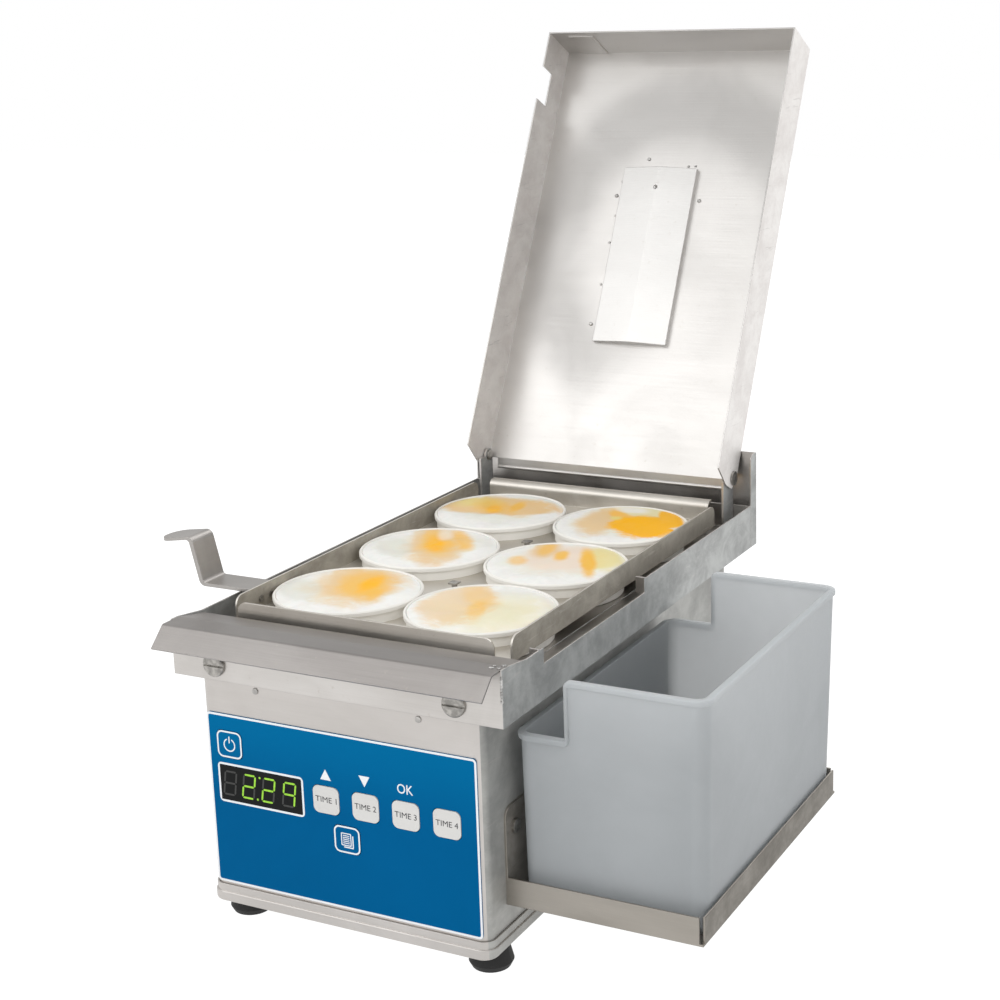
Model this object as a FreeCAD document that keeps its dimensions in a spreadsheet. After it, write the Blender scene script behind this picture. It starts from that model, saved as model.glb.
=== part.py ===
# Countertop egg cooker: a six-ring steam griddle with a hinged lid, a lift-out ring rack
# and an open waste bin on a side shelf. Millimetres, front towards -Y, bin on the +X side.
import FreeCAD, Part
import math
import os

import Sketcher

doc = FreeCAD.newDocument("egg_cooker")
sheet = doc.addObject("Spreadsheet::Sheet", "Sizes")

# Driving dimensions. While it is modelled, x runs from the cabinet's middle, y back from its
# front face and z up from the floor; the last section moves the whole under its own middle.
DRIVING = {
    # Cabinet
    "body_width": 228, "body_depth": 430, "corner_radius": 8, "gauge": 1.2,
    "foot_height": 16.5, "foot_radius": 15.9, "foot_tread": 13.7, "foot_neck": 12.7,
    "foot_bulge": 4.1, "foot_in_x": 13, "foot_in_y": 25, "hem_height": 13.5, "hem_gap": 0.3,
    "hem_round": 2, "bead_high": 8, "bead_out": 1.1, "bead_round": 1, "rear_flange": 14,
    "vent_width": 60, "vent_slot": 3, "vent_pitch": 12, "screw_shank": 3, "screw_slip": 0.06,
    "screw_head": 6, "screw_crown": 4.8, "small_rivet": 2.4, "rivet_head": 0.8,
    # Front overlay, its window and its keys; shares are of the overlay's width
    "overlay_margin": 4, "overlay_low": 32, "overlay_top_gap": 26, "overlay_gauge": 0.8,
    "overlay_radius": 3, "window_margin": 8.8, "window_gap": 9.9, "window_height": 26.6,
    "window_proud": 0.3, "key_width": 21.3, "key_height": 20.3, "key_radius": 4.6,
    "key_gap": 0.35, "key_proud": 0.4, "key_back": 2, "key_travel": 0.5, "key_slack": 0.15,
    "power_row": 22.6, "time_row": 50.5, "window_row": 52.2, "menu_row": 77.4,
    "key_pitch_share": 0.14668, "time_key_place_share": 0.05091,
    "power_key_place_share": 0.41455, "menu_key_place_share": 0.0205,
    # Control board behind the front
    "board_gap": 10, "board_gauge": 1.6, "board_side_gap": 8, "board_rise": 6,
    "board_over": 1.5, "board_in": 5, "standoff_radius": 3, "switch_size": 12,
    "switch_depth": 5, "plunger_radius": 1.8, "digit_depth": 8, "digit_side": 4,
    "digit_edge": 1.2,
    # Skirted pan and its deck
    "deck_top": 205, "pan_overhang": 19.2, "pan_reach": 4, "pan_rear_reach": 8,
    "skirt_drop": 16.5, "pan_rise": 20, "pan_edge_round": 1, "cut_drop": 11, "cut_start": 58.5,
    "cut_length": 163.5, "tab_width": 6, "tab_setback": 7, "tab_rise": 1.2,
    "skirt_screw_in": 36.4, "skirt_screw_rise": 11.7, "skirt_screw_radius": 8.8,
    "skirt_screw_head": 3, "skirt_screw_round": 2.1, "skirt_shank": 2.25, "skirt_hole": 2.3,
    "skirt_nut": 3.2, "screw_slot": 1.6, "screw_slot_depth": 1.5, "body_rivet_in": 67,
    "body_rivet_drop": 5,
    # Drip lip along the pan's front
    "lip_rise": 3.8, "lip_foot_drop": 1.5, "lip_flat": 8, "lip_bend": 10.3, "lip_tip": 24.6,
    "lip_tip_drop": 13.6, "lip_gap": 3, "lip_end_gap": 0.3, "lip_thin_share": 0.7,
    # Heated platen and what hangs under it
    "platen_in": 21.2, "platen_start": 48, "platen_end": 30, "platen_depth": 12,
    "platen_radius": 12, "platen_gap": 0.5, "heater_radius": 4, "heater_in": 34,
    "heater_end": 40, "clamp_gauge": 2, "clamp_width": 26, "blanket_depth": 25,
    "shield_gauge": 1, "shield_drop": 6, "probe_radius": 3, "probe_length": 70,
    # Ring rack
    "rack_in": 19.2, "rack_start": 41, "rack_end": 26, "rack_clear": 9.5, "rack_wall": 18.2,
    "rack_gauge": 1.5, "rack_corner": 9, "rack_end_radius": 7.5, "rack_ledge": 7,
    "rack_ledge_round": 4, "ring_start": 70, "ring_end": 71, "ring_side": 0.7, "ring_gap": 0.5,
    "ring_rise": 12.5, "ring_clear": 0.4, "rim_depth": 3.6, "rim_round": 1, "step_in": 1.8,
    "ring_wall_in": 4, "ring_bore_in": 6.2, "ring_slip": 0.3, "clip_radius": 2.2,
    "clip_high": 5, "clip_arm": 7, "clip_gauge": 1.2,
    # Rack handle
    "handle_start": 32, "handle_width": 25, "handle_gauge": 2.5, "handle_over": 3.4,
    "handle_bend": 47.5, "handle_lean": 8.5, "handle_rise": 34.6, "handle_grip": 30,
    "handle_grip_round": 11.5, "handle_droop": 4.5, "handle_tab": 12, "bend_radius": 3,
    # Hinge, lid and its stop
    "pin_rise": 45, "pin_radius": 3, "pin_slip": 0.05, "pin_head": 6, "pin_head_depth": 1.6,
    "open_angle": 117.3, "lid_rise": 7, "lid_gap_front": 3, "lid_gap_side": 6,
    "lid_depth": 42.3, "lid_end_gap": 0.2, "rail_in": 10, "rail_run": 7.1, "rail_rise": 3.7,
    "rail_hem": 1.5, "ear_back": 9, "ear_drop": 13, "ear_rise": 1, "notch_gap": 1.2,
    "notch_spare": 6, "notch_over": 1.7, "bracket_gauge": 2, "bracket_in": 1.2, "bracket_depth": 15,
    "bracket_foot": 13, "stop_gap": 0.3, "stop_rise": 19, "stop_round": 5,
    "lid_grip_half": 48, "lid_grip_in": 36, "lid_grip_rise": 26, "lid_grip_radius": 4.5,
    "lid_grip_foot": 8.1,
    # Water well in the lid
    "well_half": 35.5, "well_length": 165.5, "well_end": 113.5, "well_edge": 4.5,
    "well_fold": 8.5, "well_fold_x": -0.5, "well_wall": 1, "well_seat": 2.4, "well_hole_in": 19.5,
    "well_hole_radius": 2, "front_plate_in": 17, "front_plate_width": 25,
    "front_plate_gauge": 1, "front_plate_depth": 36,
    # Shelf and waste bin
    "shelf_front": 26, "shelf_back": 289, "shelf_reach": 145, "shelf_low": 46.5,
    "shelf_lip_rise": 20, "shelf_hanger_rise": 70.5, "shelf_gauge": 1.5, "shelf_corner_gap": 1.5,
    "shelf_edge_round": 0.7, "shelf_screw_rise": 54, "shelf_screw_in": 12,
    "shelf_screw_radius": 5, "shelf_screw_head": 2.5, "bin_gap": 7, "bin_front": 33,
    "bin_back": 290, "bin_taper": 3.5, "bin_taper_in_share": 0.25, "bin_wall": 3, "bin_seat": 0.3,
    "bin_over": 24.5, "bin_under": 18, "bin_riser": 37.5, "bin_roll": 1.6, "bin_roll_high": 4.4,
    "bin_roll_round": 1, "bin_corner": 10, "bin_riser_roll": 2.6, "bin_riser_radius": 4.5,
    "bin_riser_fold": 1.6,
    # Power parts inside the cabinet; shares are of the cabinet's half width and depth
    "rear_panel_low": 31, "rear_panel_drop": 15.8, "rear_vent_drop": 28, "gland_share": 0.614,
    "gland_z": 60, "gland_radius": 11, "gland_slip": 0.3, "gland_bore": 5, "gland_flange": 15,
    "core_width": 70, "core_depth": 58, "core_high": 60, "core_x_share": 0.395,
    "core_y_share": 0.581, "coil_width": 46, "coil_depth": 82, "coil_high": 36,
    "relay_width": 58, "relay_depth": 45, "relay_high": 26, "relay_x_share": 0.482,
    "relay_y_share": 0.4186, "block_width": 70, "block_depth": 22, "block_high": 18,
    "block_x_share": 0.395, "block_in": 100, "cutout_radius": 9, "cutout_high": 14,
}


class Size:
    """A length that knows its number and the sheet expression that gives it."""

    def __init__(self, value, text):
        self.value, self.text = value, text

    def joined(self, sign, value, other):
        return Size(value, f"({self.text} {sign} {other.text})")

    def __add__(self, other):
        other = as_size(other)
        return self.joined("+", self.value + other.value, other)

    def __sub__(self, other):
        other = as_size(other)
        return self.joined("-", self.value - other.value, other)

    def __mul__(self, other):
        other = as_size(other)
        return self.joined("*", self.value * other.value, other)

    def __truediv__(self, other):
        other = as_size(other)
        return self.joined("/", self.value / other.value, other)

    def __radd__(self, other):
        return as_size(other) + self

    def __rsub__(self, other):
        return as_size(other) - self

    def __rmul__(self, other):
        return as_size(other) * self

    def __neg__(self):
        return as_size(0) - self


def as_size(number):
    return number if isinstance(number, Size) else Size(float(number), str(number))


def sine(angle):
    return Size(math.sin(math.radians(angle.value)), f"sin({angle.text} * 1deg)")


def cosine(angle):
    return Size(math.cos(math.radians(angle.value)), f"cos({angle.text} * 1deg)")


def smaller(first, second):
    return Size(min(first.value, second.value), f"min({first.text}; {second.text})")


class Names:
    """The driving dimensions as attributes, each tied to its cell of the sheet."""


S = Names()
for row, (alias, number) in enumerate(DRIVING.items(), start=1):
    sheet.set(f"A{row}", alias)
    sheet.set(f"B{row}", str(number))
    sheet.setAlias(f"B{row}", alias)
    setattr(S, alias, Size(float(number), f"Sizes.{alias}"))
doc.recompute()

# What the driving dimensions work out to: the cabinet, its front and the pan
half = S.body_width / 2
floor_low = S.foot_height
floor_top = floor_low + S.gauge
shell_top = S.deck_top - S.gauge
hem_outer = half + S.hem_gap + S.gauge
S.pan_half = half + S.pan_overhang
S.pan_front = -S.pan_reach
S.pan_back = S.body_depth + S.pan_rear_reach
S.pan_low = S.deck_top - S.skirt_drop
S.pan_top = S.deck_top + S.pan_rise
S.overlay_width = S.body_width - S.overlay_margin * 2
overlay_high = S.pan_low - S.overlay_top_gap
time_row = overlay_high - S.time_row
KEYS = {
    "key_power": (-S.overlay_width * S.power_key_place_share, overlay_high - S.power_row),
    "key_menu": (S.overlay_width * S.menu_key_place_share, overlay_high - S.menu_row),
}
for number in range(4):
    place = S.key_pitch_share * number - S.time_key_place_share
    KEYS[f"key_time_{number + 1}"] = (S.overlay_width * place, time_row)
window_span = (
    S.window_margin - S.overlay_width / 2,
    KEYS["key_time_1"][0] - S.key_width / 2 - S.window_gap,
)
window_z = overlay_high - S.window_row
S.board_half = half - S.board_side_gap
S.board_low = S.overlay_low + S.board_rise
S.board_high = overlay_high + S.board_over
board_front = S.board_gap
board_back = S.board_gap + S.board_gauge
S.cut_top = S.pan_top - S.cut_drop
S.cut_front = S.pan_front + S.cut_start
S.cut_back = S.cut_front + S.cut_length
S.skirt_screw_x = S.pan_half - S.skirt_screw_in
S.skirt_screw_z = S.pan_low + S.skirt_screw_rise
S.body_rivet_x = S.pan_half - S.body_rivet_in
S.body_rivet_z = S.pan_low - S.body_rivet_drop

# The platen, the rack and the drip lip
S.platen_half = S.pan_half - S.platen_in
S.platen_front = S.pan_front + S.platen_start
S.platen_back = S.pan_back - S.platen_end
platen_low = S.deck_top - S.platen_depth
platen_middle = (S.platen_front + S.platen_back) / 2
S.heater_half = S.platen_half - S.heater_in
heater_mid = platen_low - S.heater_radius
clamp_low = heater_mid - S.heater_radius - S.clamp_gauge
blanket_low = clamp_low - S.blanket_depth
S.rack_half = S.pan_half - S.rack_in
S.rack_front = S.pan_front + S.rack_start
S.rack_back = S.pan_back - S.rack_end
S.rack_floor = S.deck_top + S.rack_clear
rack_floor_top = S.rack_floor + S.rack_gauge
S.rack_top = S.rack_floor + S.rack_wall
S.ring_spread = S.rack_half / 2 - S.ring_side
S.ring_first = S.rack_front + S.ring_start
S.ring_pitch = (S.rack_back - S.ring_end - S.ring_first) / 2
S.ring_radius = smaller(S.ring_spread * 2, S.ring_pitch) / 2 - S.ring_gap
S.ring_top = S.rack_floor + S.ring_rise
S.ring_low = S.deck_top + S.ring_clear
S.step_radius = S.ring_radius - S.step_in
S.ring_wall = S.ring_radius - S.ring_wall_in
S.ring_bore = S.ring_radius - S.ring_bore_in
RINGS = [
    (side * S.ring_spread, S.ring_first + row * S.ring_pitch)
    for row in range(3)
    for side in (-1, 1)
]
S.lid_front = S.rack_front - S.lid_gap_front
S.lip_back = S.lid_front - S.lip_gap
S.lip_foot = S.pan_top - S.lip_foot_drop
S.lip_crest = S.pan_top + S.lip_rise
S.lip_rise_y = S.pan_front + S.lip_flat
S.lip_bend_y = S.pan_front - S.lip_bend
S.lip_tip_y = S.pan_front - S.lip_tip
S.lip_tip_z = S.lip_crest - S.lip_tip_drop
S.handle_front = S.rack_front + S.handle_start
S.handle_low = S.pan_top + S.handle_over
S.handle_bend_x = -(S.rack_half + S.handle_bend)
S.handle_rise_x = S.handle_bend_x - S.handle_lean
S.handle_rise_z = S.handle_low + S.handle_rise
S.handle_end_x = S.handle_rise_x - S.handle_grip
S.handle_end_z = S.handle_rise_z - S.handle_droop

# The lid, its hinge and its stop
S.pin_y = S.body_depth
S.pin_z = S.deck_top + S.pin_rise
lid_inner = S.pin_z + S.lid_rise
lid_outer = lid_inner + S.gauge
lid_low = lid_inner - S.lid_depth
S.lid_half = S.rack_half + S.lid_gap_side
S.ear_low = S.pin_z - S.ear_drop
S.ear_high = S.pin_z + S.ear_rise
S.notch_front = S.handle_front - S.notch_gap
S.notch_back = S.handle_front + S.handle_width + S.notch_spare
S.notch_top = S.handle_low + S.handle_gauge + S.notch_over
S.bracket_front = S.pin_y - S.bracket_depth
bracket_outer = S.lid_half - S.gauge - S.bracket_in
bracket_inner = bracket_outer - S.bracket_gauge
S.stop_top = S.pin_z + S.stop_rise
lid_sine, lid_cosine = sine(S.open_angle), cosine(S.open_angle)
lid_skin = S.lid_rise + S.gauge
stop_front = (
    S.pin_y + lid_skin * lid_sine + S.stop_gap
    - (S.stop_top - S.pin_z - lid_skin * lid_cosine) * lid_cosine / lid_sine
)
S.well_back = S.pin_y - S.well_end
S.well_front = S.well_back - S.well_length
S.well_hole_y = S.well_front + S.well_hole_in
S.front_plate_low_x = -(S.lid_half - S.front_plate_in)
S.front_plate_high_x = S.front_plate_low_x + S.front_plate_width
S.lid_grip_y = S.lid_front + S.lid_grip_in

# The shelf, the bin and the power parts
S.shelf_right = half + S.shelf_reach
S.shelf_lip = S.shelf_low + S.shelf_lip_rise
S.shelf_hanger = S.shelf_low + S.shelf_hanger_rise
S.shelf_screw_z = S.shelf_low + S.shelf_screw_rise
S.bin_left = half + S.bin_gap
S.bin_right = S.shelf_right
S.bin_low = S.shelf_low + S.shelf_gauge + S.bin_seat
S.bin_rim = S.pan_low + S.bin_over
S.bin_low_rim = S.pan_low - S.bin_under
S.bin_riser_x = S.bin_left + S.bin_riser
S.rear_panel_high = shell_top - S.rear_panel_drop
S.gland_x = half * S.gland_share
S.core_x, S.core_y = -half * S.core_x_share, S.body_depth * S.core_y_share
S.relay_x, S.relay_y = half * S.relay_x_share, S.body_depth * S.relay_y_share
S.block_x, S.block_y = half * S.block_x_share, S.body_depth - S.block_in
FEET = [
    (side * (half - S.foot_in_x), y)
    for side in (-1, 1)
    for y in (S.foot_in_y, S.body_depth - S.foot_in_y)
]
shelf_run = S.shelf_back - S.shelf_front - S.shelf_screw_in * 2
SHELF_SCREWS = [S.shelf_front + S.shelf_screw_in + shelf_run * n / 3 for n in range(4)]

TURNS = {
    "X": FreeCAD.Rotation(FreeCAD.Vector(0, 1, 0), 90),
    "Y": FreeCAD.Rotation(FreeCAD.Vector(1, 0, 0), -90),
    "Z": FreeCAD.Rotation(),
}
PLANES = {"XY": "XY_Plane", "XZ": "XZ_Plane", "YZ": "YZ_Plane"}
pieces = []
cuts = []


class Piece:
    """One separate piece of the object: a body, and the features that shape it."""

    def __init__(self, name):
        self.body = doc.addObject("PartDesign::Body", name)
        self.body.Label = name
        self.body.AllowCompound = True
        self.count = 0
        pieces.append(self.body)

    def feature(self, kind, cut):
        self.count += 1
        made = self.body.newObject(f"PartDesign::{kind}", f"{self.body.Name}_{self.count}")
        if cut:
            cuts.append(made)
        return made

    def block(self, x, y, z, cut=False):
        """A box between the low and high of each pair."""
        made = self.feature("SubtractiveBox" if cut else "AdditiveBox", cut)
        for axis, size, (low, high) in zip("xyz", ("Length", "Width", "Height"), (x, y, z)):
            bind(made, size, as_size(high) - low)
            bind(made, f"Placement.Base.{axis}", as_size(low))
        return self

    def rod(self, axis, across, radius, span, cut=False):
        """A round bar along an axis; across is its middle on the other two, in x, y, z order."""
        made = self.feature("SubtractiveCylinder" if cut else "AdditiveCylinder", cut)
        made.Placement = FreeCAD.Placement(FreeCAD.Vector(), TURNS[axis])
        bind(made, "Radius", radius)
        bind(made, "Height", as_size(span[1]) - span[0])
        base = list(across)
        base.insert("XYZ".index(axis), span[0])
        for letter, value in zip("xyz", base):
            bind(made, f"Placement.Base.{letter}", as_size(value))
        return self

    def sketch(self, plane, points, along, shift=0):
        """A closed outline through the points, on one of the body's planes."""
        self.count += 1
        made = self.body.newObject("Sketcher::SketchObject", f"{self.body.Name}_{self.count}")
        role = PLANES[plane]
        made.AttachmentSupport = [(o, "") for o in self.body.Origin.OriginFeatures if o.Role == role]
        made.MapMode = "FlatFace"
        bind(made, "AttachmentOffset.Base.z", as_size(along))
        bind(made, "AttachmentOffset.Base.x", as_size(shift))
        corners = [(as_size(u), as_size(v)) for u, v in points]
        flat = [FreeCAD.Vector(u.value, v.value, 0) for u, v in corners]
        for number, start in enumerate(flat):
            made.addGeometry(Part.LineSegment(start, flat[(number + 1) % len(flat)]), False)
        for number in range(len(flat)):
            after = (number + 1) % len(flat)
            made.addConstraint(Sketcher.Constraint("Coincident", number, 2, after, 1))
        for number, corner in enumerate(corners):
            for kind, value, axis in zip(("DistanceX", "DistanceY"), corner, (-2, -1)):
                if abs(value.value) < 1e-9:
                    made.addConstraint(Sketcher.Constraint("PointOnObject", number, 1, axis))
                    continue
                place = made.addConstraint(Sketcher.Constraint(kind, -1, 1, number, 1, value.value))
                made.setExpression(f"Constraints[{place}]", value.text)
        made.Visibility = False
        return made

    def profile(self, plane, points, span, cut=False):
        """The outline on a plane, carried along the plane's normal from span's low to its high."""
        low, high = as_size(span[0]), as_size(span[1])
        outline = self.sketch(plane, points, -high if plane == "XZ" else low)
        made = self.feature("Pocket" if cut else "Pad", cut)
        made.Profile = outline
        made.Reversed = cut
        bind(made, "Length", high - low)
        return self

    def turned(self, points, at, cut=False):
        """The outline of radius and height, turned about the upright line at a place."""
        outline = self.sketch("XZ", points, -as_size(at[1]), at[0])
        made = self.feature("Groove" if cut else "Revolution", cut)
        made.Profile = outline
        made.ReferenceAxis = (outline, ["V_Axis"])
        made.Angle = 360
        return self

    def oblong(self, x, y, radius, level):
        """A level rectangle with rounded corners, drawn anticlockwise from its low corner."""
        low_x, high_x, low_y, high_y = (as_size(v) for v in (*x, *y))
        made = self.sketch("XY", [], level)
        ring = [
            (high_x, low_y, -1, 1), (high_x, high_y, -1, -1),
            (low_x, high_y, 1, -1), (low_x, low_y, 1, 1),
        ]
        middles = [(u + radius * across, v + radius * up) for u, v, across, up in ring]
        upwards = FreeCAD.Vector(0, 0, 1)
        quarter = math.pi / 2
        arcs = []
        for number, (u, v) in enumerate(middles):
            round_line = Part.Circle(FreeCAD.Vector(u.value, v.value, 0), upwards, radius.value)
            arc = Part.ArcOfCircle(round_line, (number - 1) * quarter, number * quarter)
            arcs.append(made.addGeometry(arc, False))
            for kind, size in (("DistanceX", u), ("DistanceY", v)):
                place = made.addConstraint(Sketcher.Constraint(kind, -1, 1, arcs[-1], 3, size.value))
                made.setExpression(f"Constraints[{place}]", size.text)
            place = made.addConstraint(Sketcher.Constraint("Radius", arcs[-1], radius.value))
            made.setExpression(f"Constraints[{place}]", radius.text)
        for number, arc in enumerate(arcs):
            after = arcs[(number + 1) % 4]
            ends = made.Geometry[arc].EndPoint, made.Geometry[after].StartPoint
            line = made.addGeometry(Part.LineSegment(*ends), False)
            made.addConstraint(Sketcher.Constraint("Tangent", arc, 2, line, 1))
            made.addConstraint(Sketcher.Constraint("Tangent", line, 2, after, 1))
        return made

    def upright(self, x, y, radius, z, cut=False):
        """An upright prism on a rounded oblong, between two levels."""
        outline = self.oblong(x, y, as_size(radius), z[0])
        made = self.feature("Pocket" if cut else "Pad", cut)
        made.Profile = outline
        made.Reversed = cut
        bind(made, "Length", as_size(z[1]) - z[0])
        return self

    def lofted(self, low, high, cut=False):
        """A tapering solid between two oblongs, each given as x pair, y pair, radius and level."""
        outlines = [self.oblong(*low), self.oblong(*high)]
        made = self.feature("SubtractiveLoft" if cut else "AdditiveLoft", cut)
        made.Profile = outlines[0]
        made.Sections = [outlines[1]]
        return self

    def rounded(self, radius, chosen, kind="Fillet"):
        """Rounds or bevels the edges for which chosen is true."""
        doc.recompute()
        base = self.body.Tip
        names = [f"Edge{n}" for n, edge in enumerate(base.Shape.Edges, start=1) if chosen(edge)]
        if not names:
            raise RuntimeError(f"{self.body.Label}: no edge to round")
        made = self.feature(kind, False)
        made.Base = (base, names)
        bind(made, "Radius" if kind == "Fillet" else "Size", radius)
        return self


def bind(thing, name, size):
    size = as_size(size)
    thing.setExpression(name, size.text)


def along(axis, near=None, gap=0.01):
    """A test for straight edges that run along an axis, with their middle near a place."""

    def test(edge):
        if edge.Curve.TypeId != "Part::GeomLine":
            return False
        way = edge.tangentAt(edge.FirstParameter)
        if abs(abs(way["xyz".index(axis)]) - 1) > 1e-3:
            return False
        middle = edge.CenterOfMass
        return all(abs(middle[n] - as_size(v).value) < gap for n, v in (near or {}).items())

    return test


def either(*tests):
    return lambda edge: any(test(edge) for test in tests)


def sided(side, first, second):
    """Low and high between two distances from the middle, on the left (-1) or the right (1)."""
    return (first, second) if side > 0 else (-second, -first)


def inset(span, wall):
    return (span[0] + wall, span[1] - wall)


def pair(middle, width):
    """Low and high about a middle."""
    return (middle - as_size(width) / 2, middle + as_size(width) / 2)


# Cabinet: hemmed base pan, wrapped shell, rear panel and feet
def base_pan():
    made = Piece("base_pan")
    high = floor_low + S.hem_height
    outer, inner = S.hem_gap + S.gauge, S.hem_gap
    bead, bead_top = outer + S.bead_out, floor_low + S.bead_high
    made.upright((-half - bead, half + bead), (-bead, S.body_depth + bead),
                 S.corner_radius + bead, (floor_low, bead_top))
    made.rounded(S.hem_round, level_at(floor_low))
    made.rounded(S.bead_round, level_at(bead_top))
    made.upright((-half - outer, half + outer), (-outer, S.body_depth + outer),
                 S.corner_radius + outer, (floor_low + S.hem_round, high))
    made.upright((-half - inner, half + inner), (-inner, S.body_depth + inner),
                 S.corner_radius + inner, (floor_top, high), cut=True)
    for x, y in FEET:
        made.rod("Z", (x, y), S.screw_shank, (floor_low, floor_top), cut=True)
    for number in range(5):
        y = S.body_depth / 2 + (number - 2) * S.vent_pitch
        made.block(pair(0, S.vent_width), pair(y, S.vent_slot), (floor_low, floor_top), cut=True)


def level_at(z):
    """A test for edges that lie flat at one level."""

    def test(edge):
        box = edge.BoundBox
        return box.ZLength < 0.01 and abs(box.ZMin - as_size(z).value) < 0.01

    return test


def feet():
    rubber = Piece("feet")
    screws = Piece("foot_screws")
    for x, y in FEET:
        rubber.turned([(S.screw_shank, 0), (S.foot_tread, 0), (S.foot_radius, S.foot_bulge),
                       (S.foot_neck, S.foot_height), (S.screw_shank, S.foot_height)], (x, y))
        shank = S.screw_shank - S.screw_slip
        screws.turned([(0, S.gauge), (shank, S.gauge), (shank, floor_top), (S.screw_head, floor_top),
                       (S.screw_crown, floor_top + S.screw_shank), (0, floor_top + S.screw_shank)], (x, y))


def body_shell():
    made = Piece("body_shell")
    made.upright((-half, half), (0, S.body_depth), S.corner_radius, (floor_top, shell_top))
    inner = half - S.gauge
    made.upright((-inner, inner), (S.gauge, S.body_depth - S.gauge), S.corner_radius - S.gauge,
                 (floor_top, shell_top), cut=True)
    opening = inner - S.rear_flange
    made.block((-opening, opening), (S.body_depth - S.gauge * 2, S.body_depth),
               (floor_top, shell_top), cut=True)
    front = (0, S.gauge)
    for x, z in KEYS.values():
        made.block(pair(x, S.key_width + S.key_gap * 2), front,
                   pair(z, S.key_height + S.key_gap * 2), cut=True)
    made.block(window_span, front, pair(window_z, S.window_height), cut=True)
    for side in (-1, 1):
        made.rod("Y", (side * S.skirt_screw_x, S.skirt_screw_z), S.skirt_hole, front, cut=True)
        made.rod("Y", (side * S.body_rivet_x, S.body_rivet_z), S.small_rivet / 2, front, cut=True)
    for y in SHELF_SCREWS:
        made.rod("X", (y, S.shelf_screw_z), S.screw_shank, (inner, half), cut=True)


def rear_panel():
    made = Piece("rear_panel")
    inset = half - S.corner_radius
    back = (S.body_depth, S.body_depth + S.gauge)
    made.block((-inset, inset), back, (S.rear_panel_low, S.rear_panel_high))
    made.rod("Y", (S.gland_x, S.gland_z), S.gland_radius + S.gland_slip, back, cut=True)
    for number in range(6):
        z = S.rear_panel_high - S.rear_vent_drop - number * S.vent_pitch
        made.block(pair(0, S.vent_width * 2), back, pair(z, S.vent_slot), cut=True)
    screws = Piece("rear_screws")
    for side in (-1, 1):
        for z in (S.rear_panel_low + S.gland_flange, S.rear_panel_high - S.gland_flange):
            x = side * (inset - S.rear_flange / 2)
            made.rod("Y", (x, z), S.screw_shank / 2, back, cut=True)
            screws.rod("Y", (x, z), S.screw_shank, (back[1], back[1] + S.screw_shank / 2))
            screws.rod("Y", (x, z), S.screw_shank / 2, back)


def cord_gland():
    made = Piece("cord_gland")
    back = S.body_depth
    reach = S.gland_radius
    made.rod("Y", (S.gland_x, S.gland_z), S.gland_radius, (back - reach, back + S.gauge + reach))
    made.rod("Y", (S.gland_x, S.gland_z), S.gland_flange, (back + S.gauge, back + S.gauge * 4))
    made.rod("Y", (S.gland_x, S.gland_z), S.gland_flange, (back - S.gauge * 3, back))
    made.rod("Y", (S.gland_x, S.gland_z), S.gland_bore, (back - reach, back + S.gauge + reach), cut=True)


# Front overlay, window, keys and the board behind them
def front_overlay():
    made = Piece("control_overlay")
    span = (-S.overlay_gauge, 0)
    made.block(pair(0, S.overlay_width), span, (S.overlay_low, overlay_high))
    made.rounded(S.overlay_radius, along("y"))
    for x, z in KEYS.values():
        made.block(pair(x, S.key_width + S.key_gap * 2), span,
                   pair(z, S.key_height + S.key_gap * 2), cut=True)
        made.rounded(S.key_radius, key_corners(x, z))
    made.block(window_span, span, pair(window_z, S.window_height), cut=True)


def key_corners(x, z):
    """A test for the four upright corners of a key's opening or of a key."""
    wide = (S.key_width / 2 + S.key_gap).value
    high = (S.key_height / 2 + S.key_gap).value
    near = S.key_gap.value * 2

    def test(edge):
        middle = edge.CenterOfMass
        off_x = abs(abs(middle.x - as_size(x).value) - wide)
        off_z = abs(abs(middle.z - as_size(z).value) - high)
        return along("y")(edge) and off_x < near and off_z < near

    return test


def display_window():
    made = Piece("display_window")
    made.block(window_span, (-(S.overlay_gauge + S.window_proud), S.gauge),
               pair(window_z, S.window_height))


def keys():
    for name, (x, z) in KEYS.items():
        made = Piece(name)
        made.block(pair(x, S.key_width), (-(S.overlay_gauge + S.key_proud), S.key_back),
                   pair(z, S.key_height))
        made.rounded(S.key_radius, key_corners(x, z))


def control_board():
    made = Piece("control_board")
    span = (board_front, board_back)
    made.block((-S.board_half, S.board_half), span, (S.board_low, S.board_high))
    posts = Piece("board_standoffs")
    for x in (-(S.board_half - S.board_in), S.board_half - S.board_in):
        for z in (S.board_low + S.board_in, S.board_high - S.board_in):
            posts.rod("Y", (x, z), S.standoff_radius, (S.gauge, board_front))
    switches = Piece("key_switches")
    for x, z in KEYS.values():
        switches.block(pair(x, S.switch_size), (board_front - S.switch_depth, board_front),
                       pair(z, S.switch_size))
        tip = S.key_back + S.key_travel + S.key_slack
        switches.rod("Y", (x, z), S.plunger_radius, (tip, board_front - S.switch_depth))
    digits = Piece("display_module")
    digits.block(inset(window_span, S.digit_side), (board_front - S.digit_depth, board_front),
                 pair(window_z, S.window_height - S.digit_edge * 2))


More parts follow.
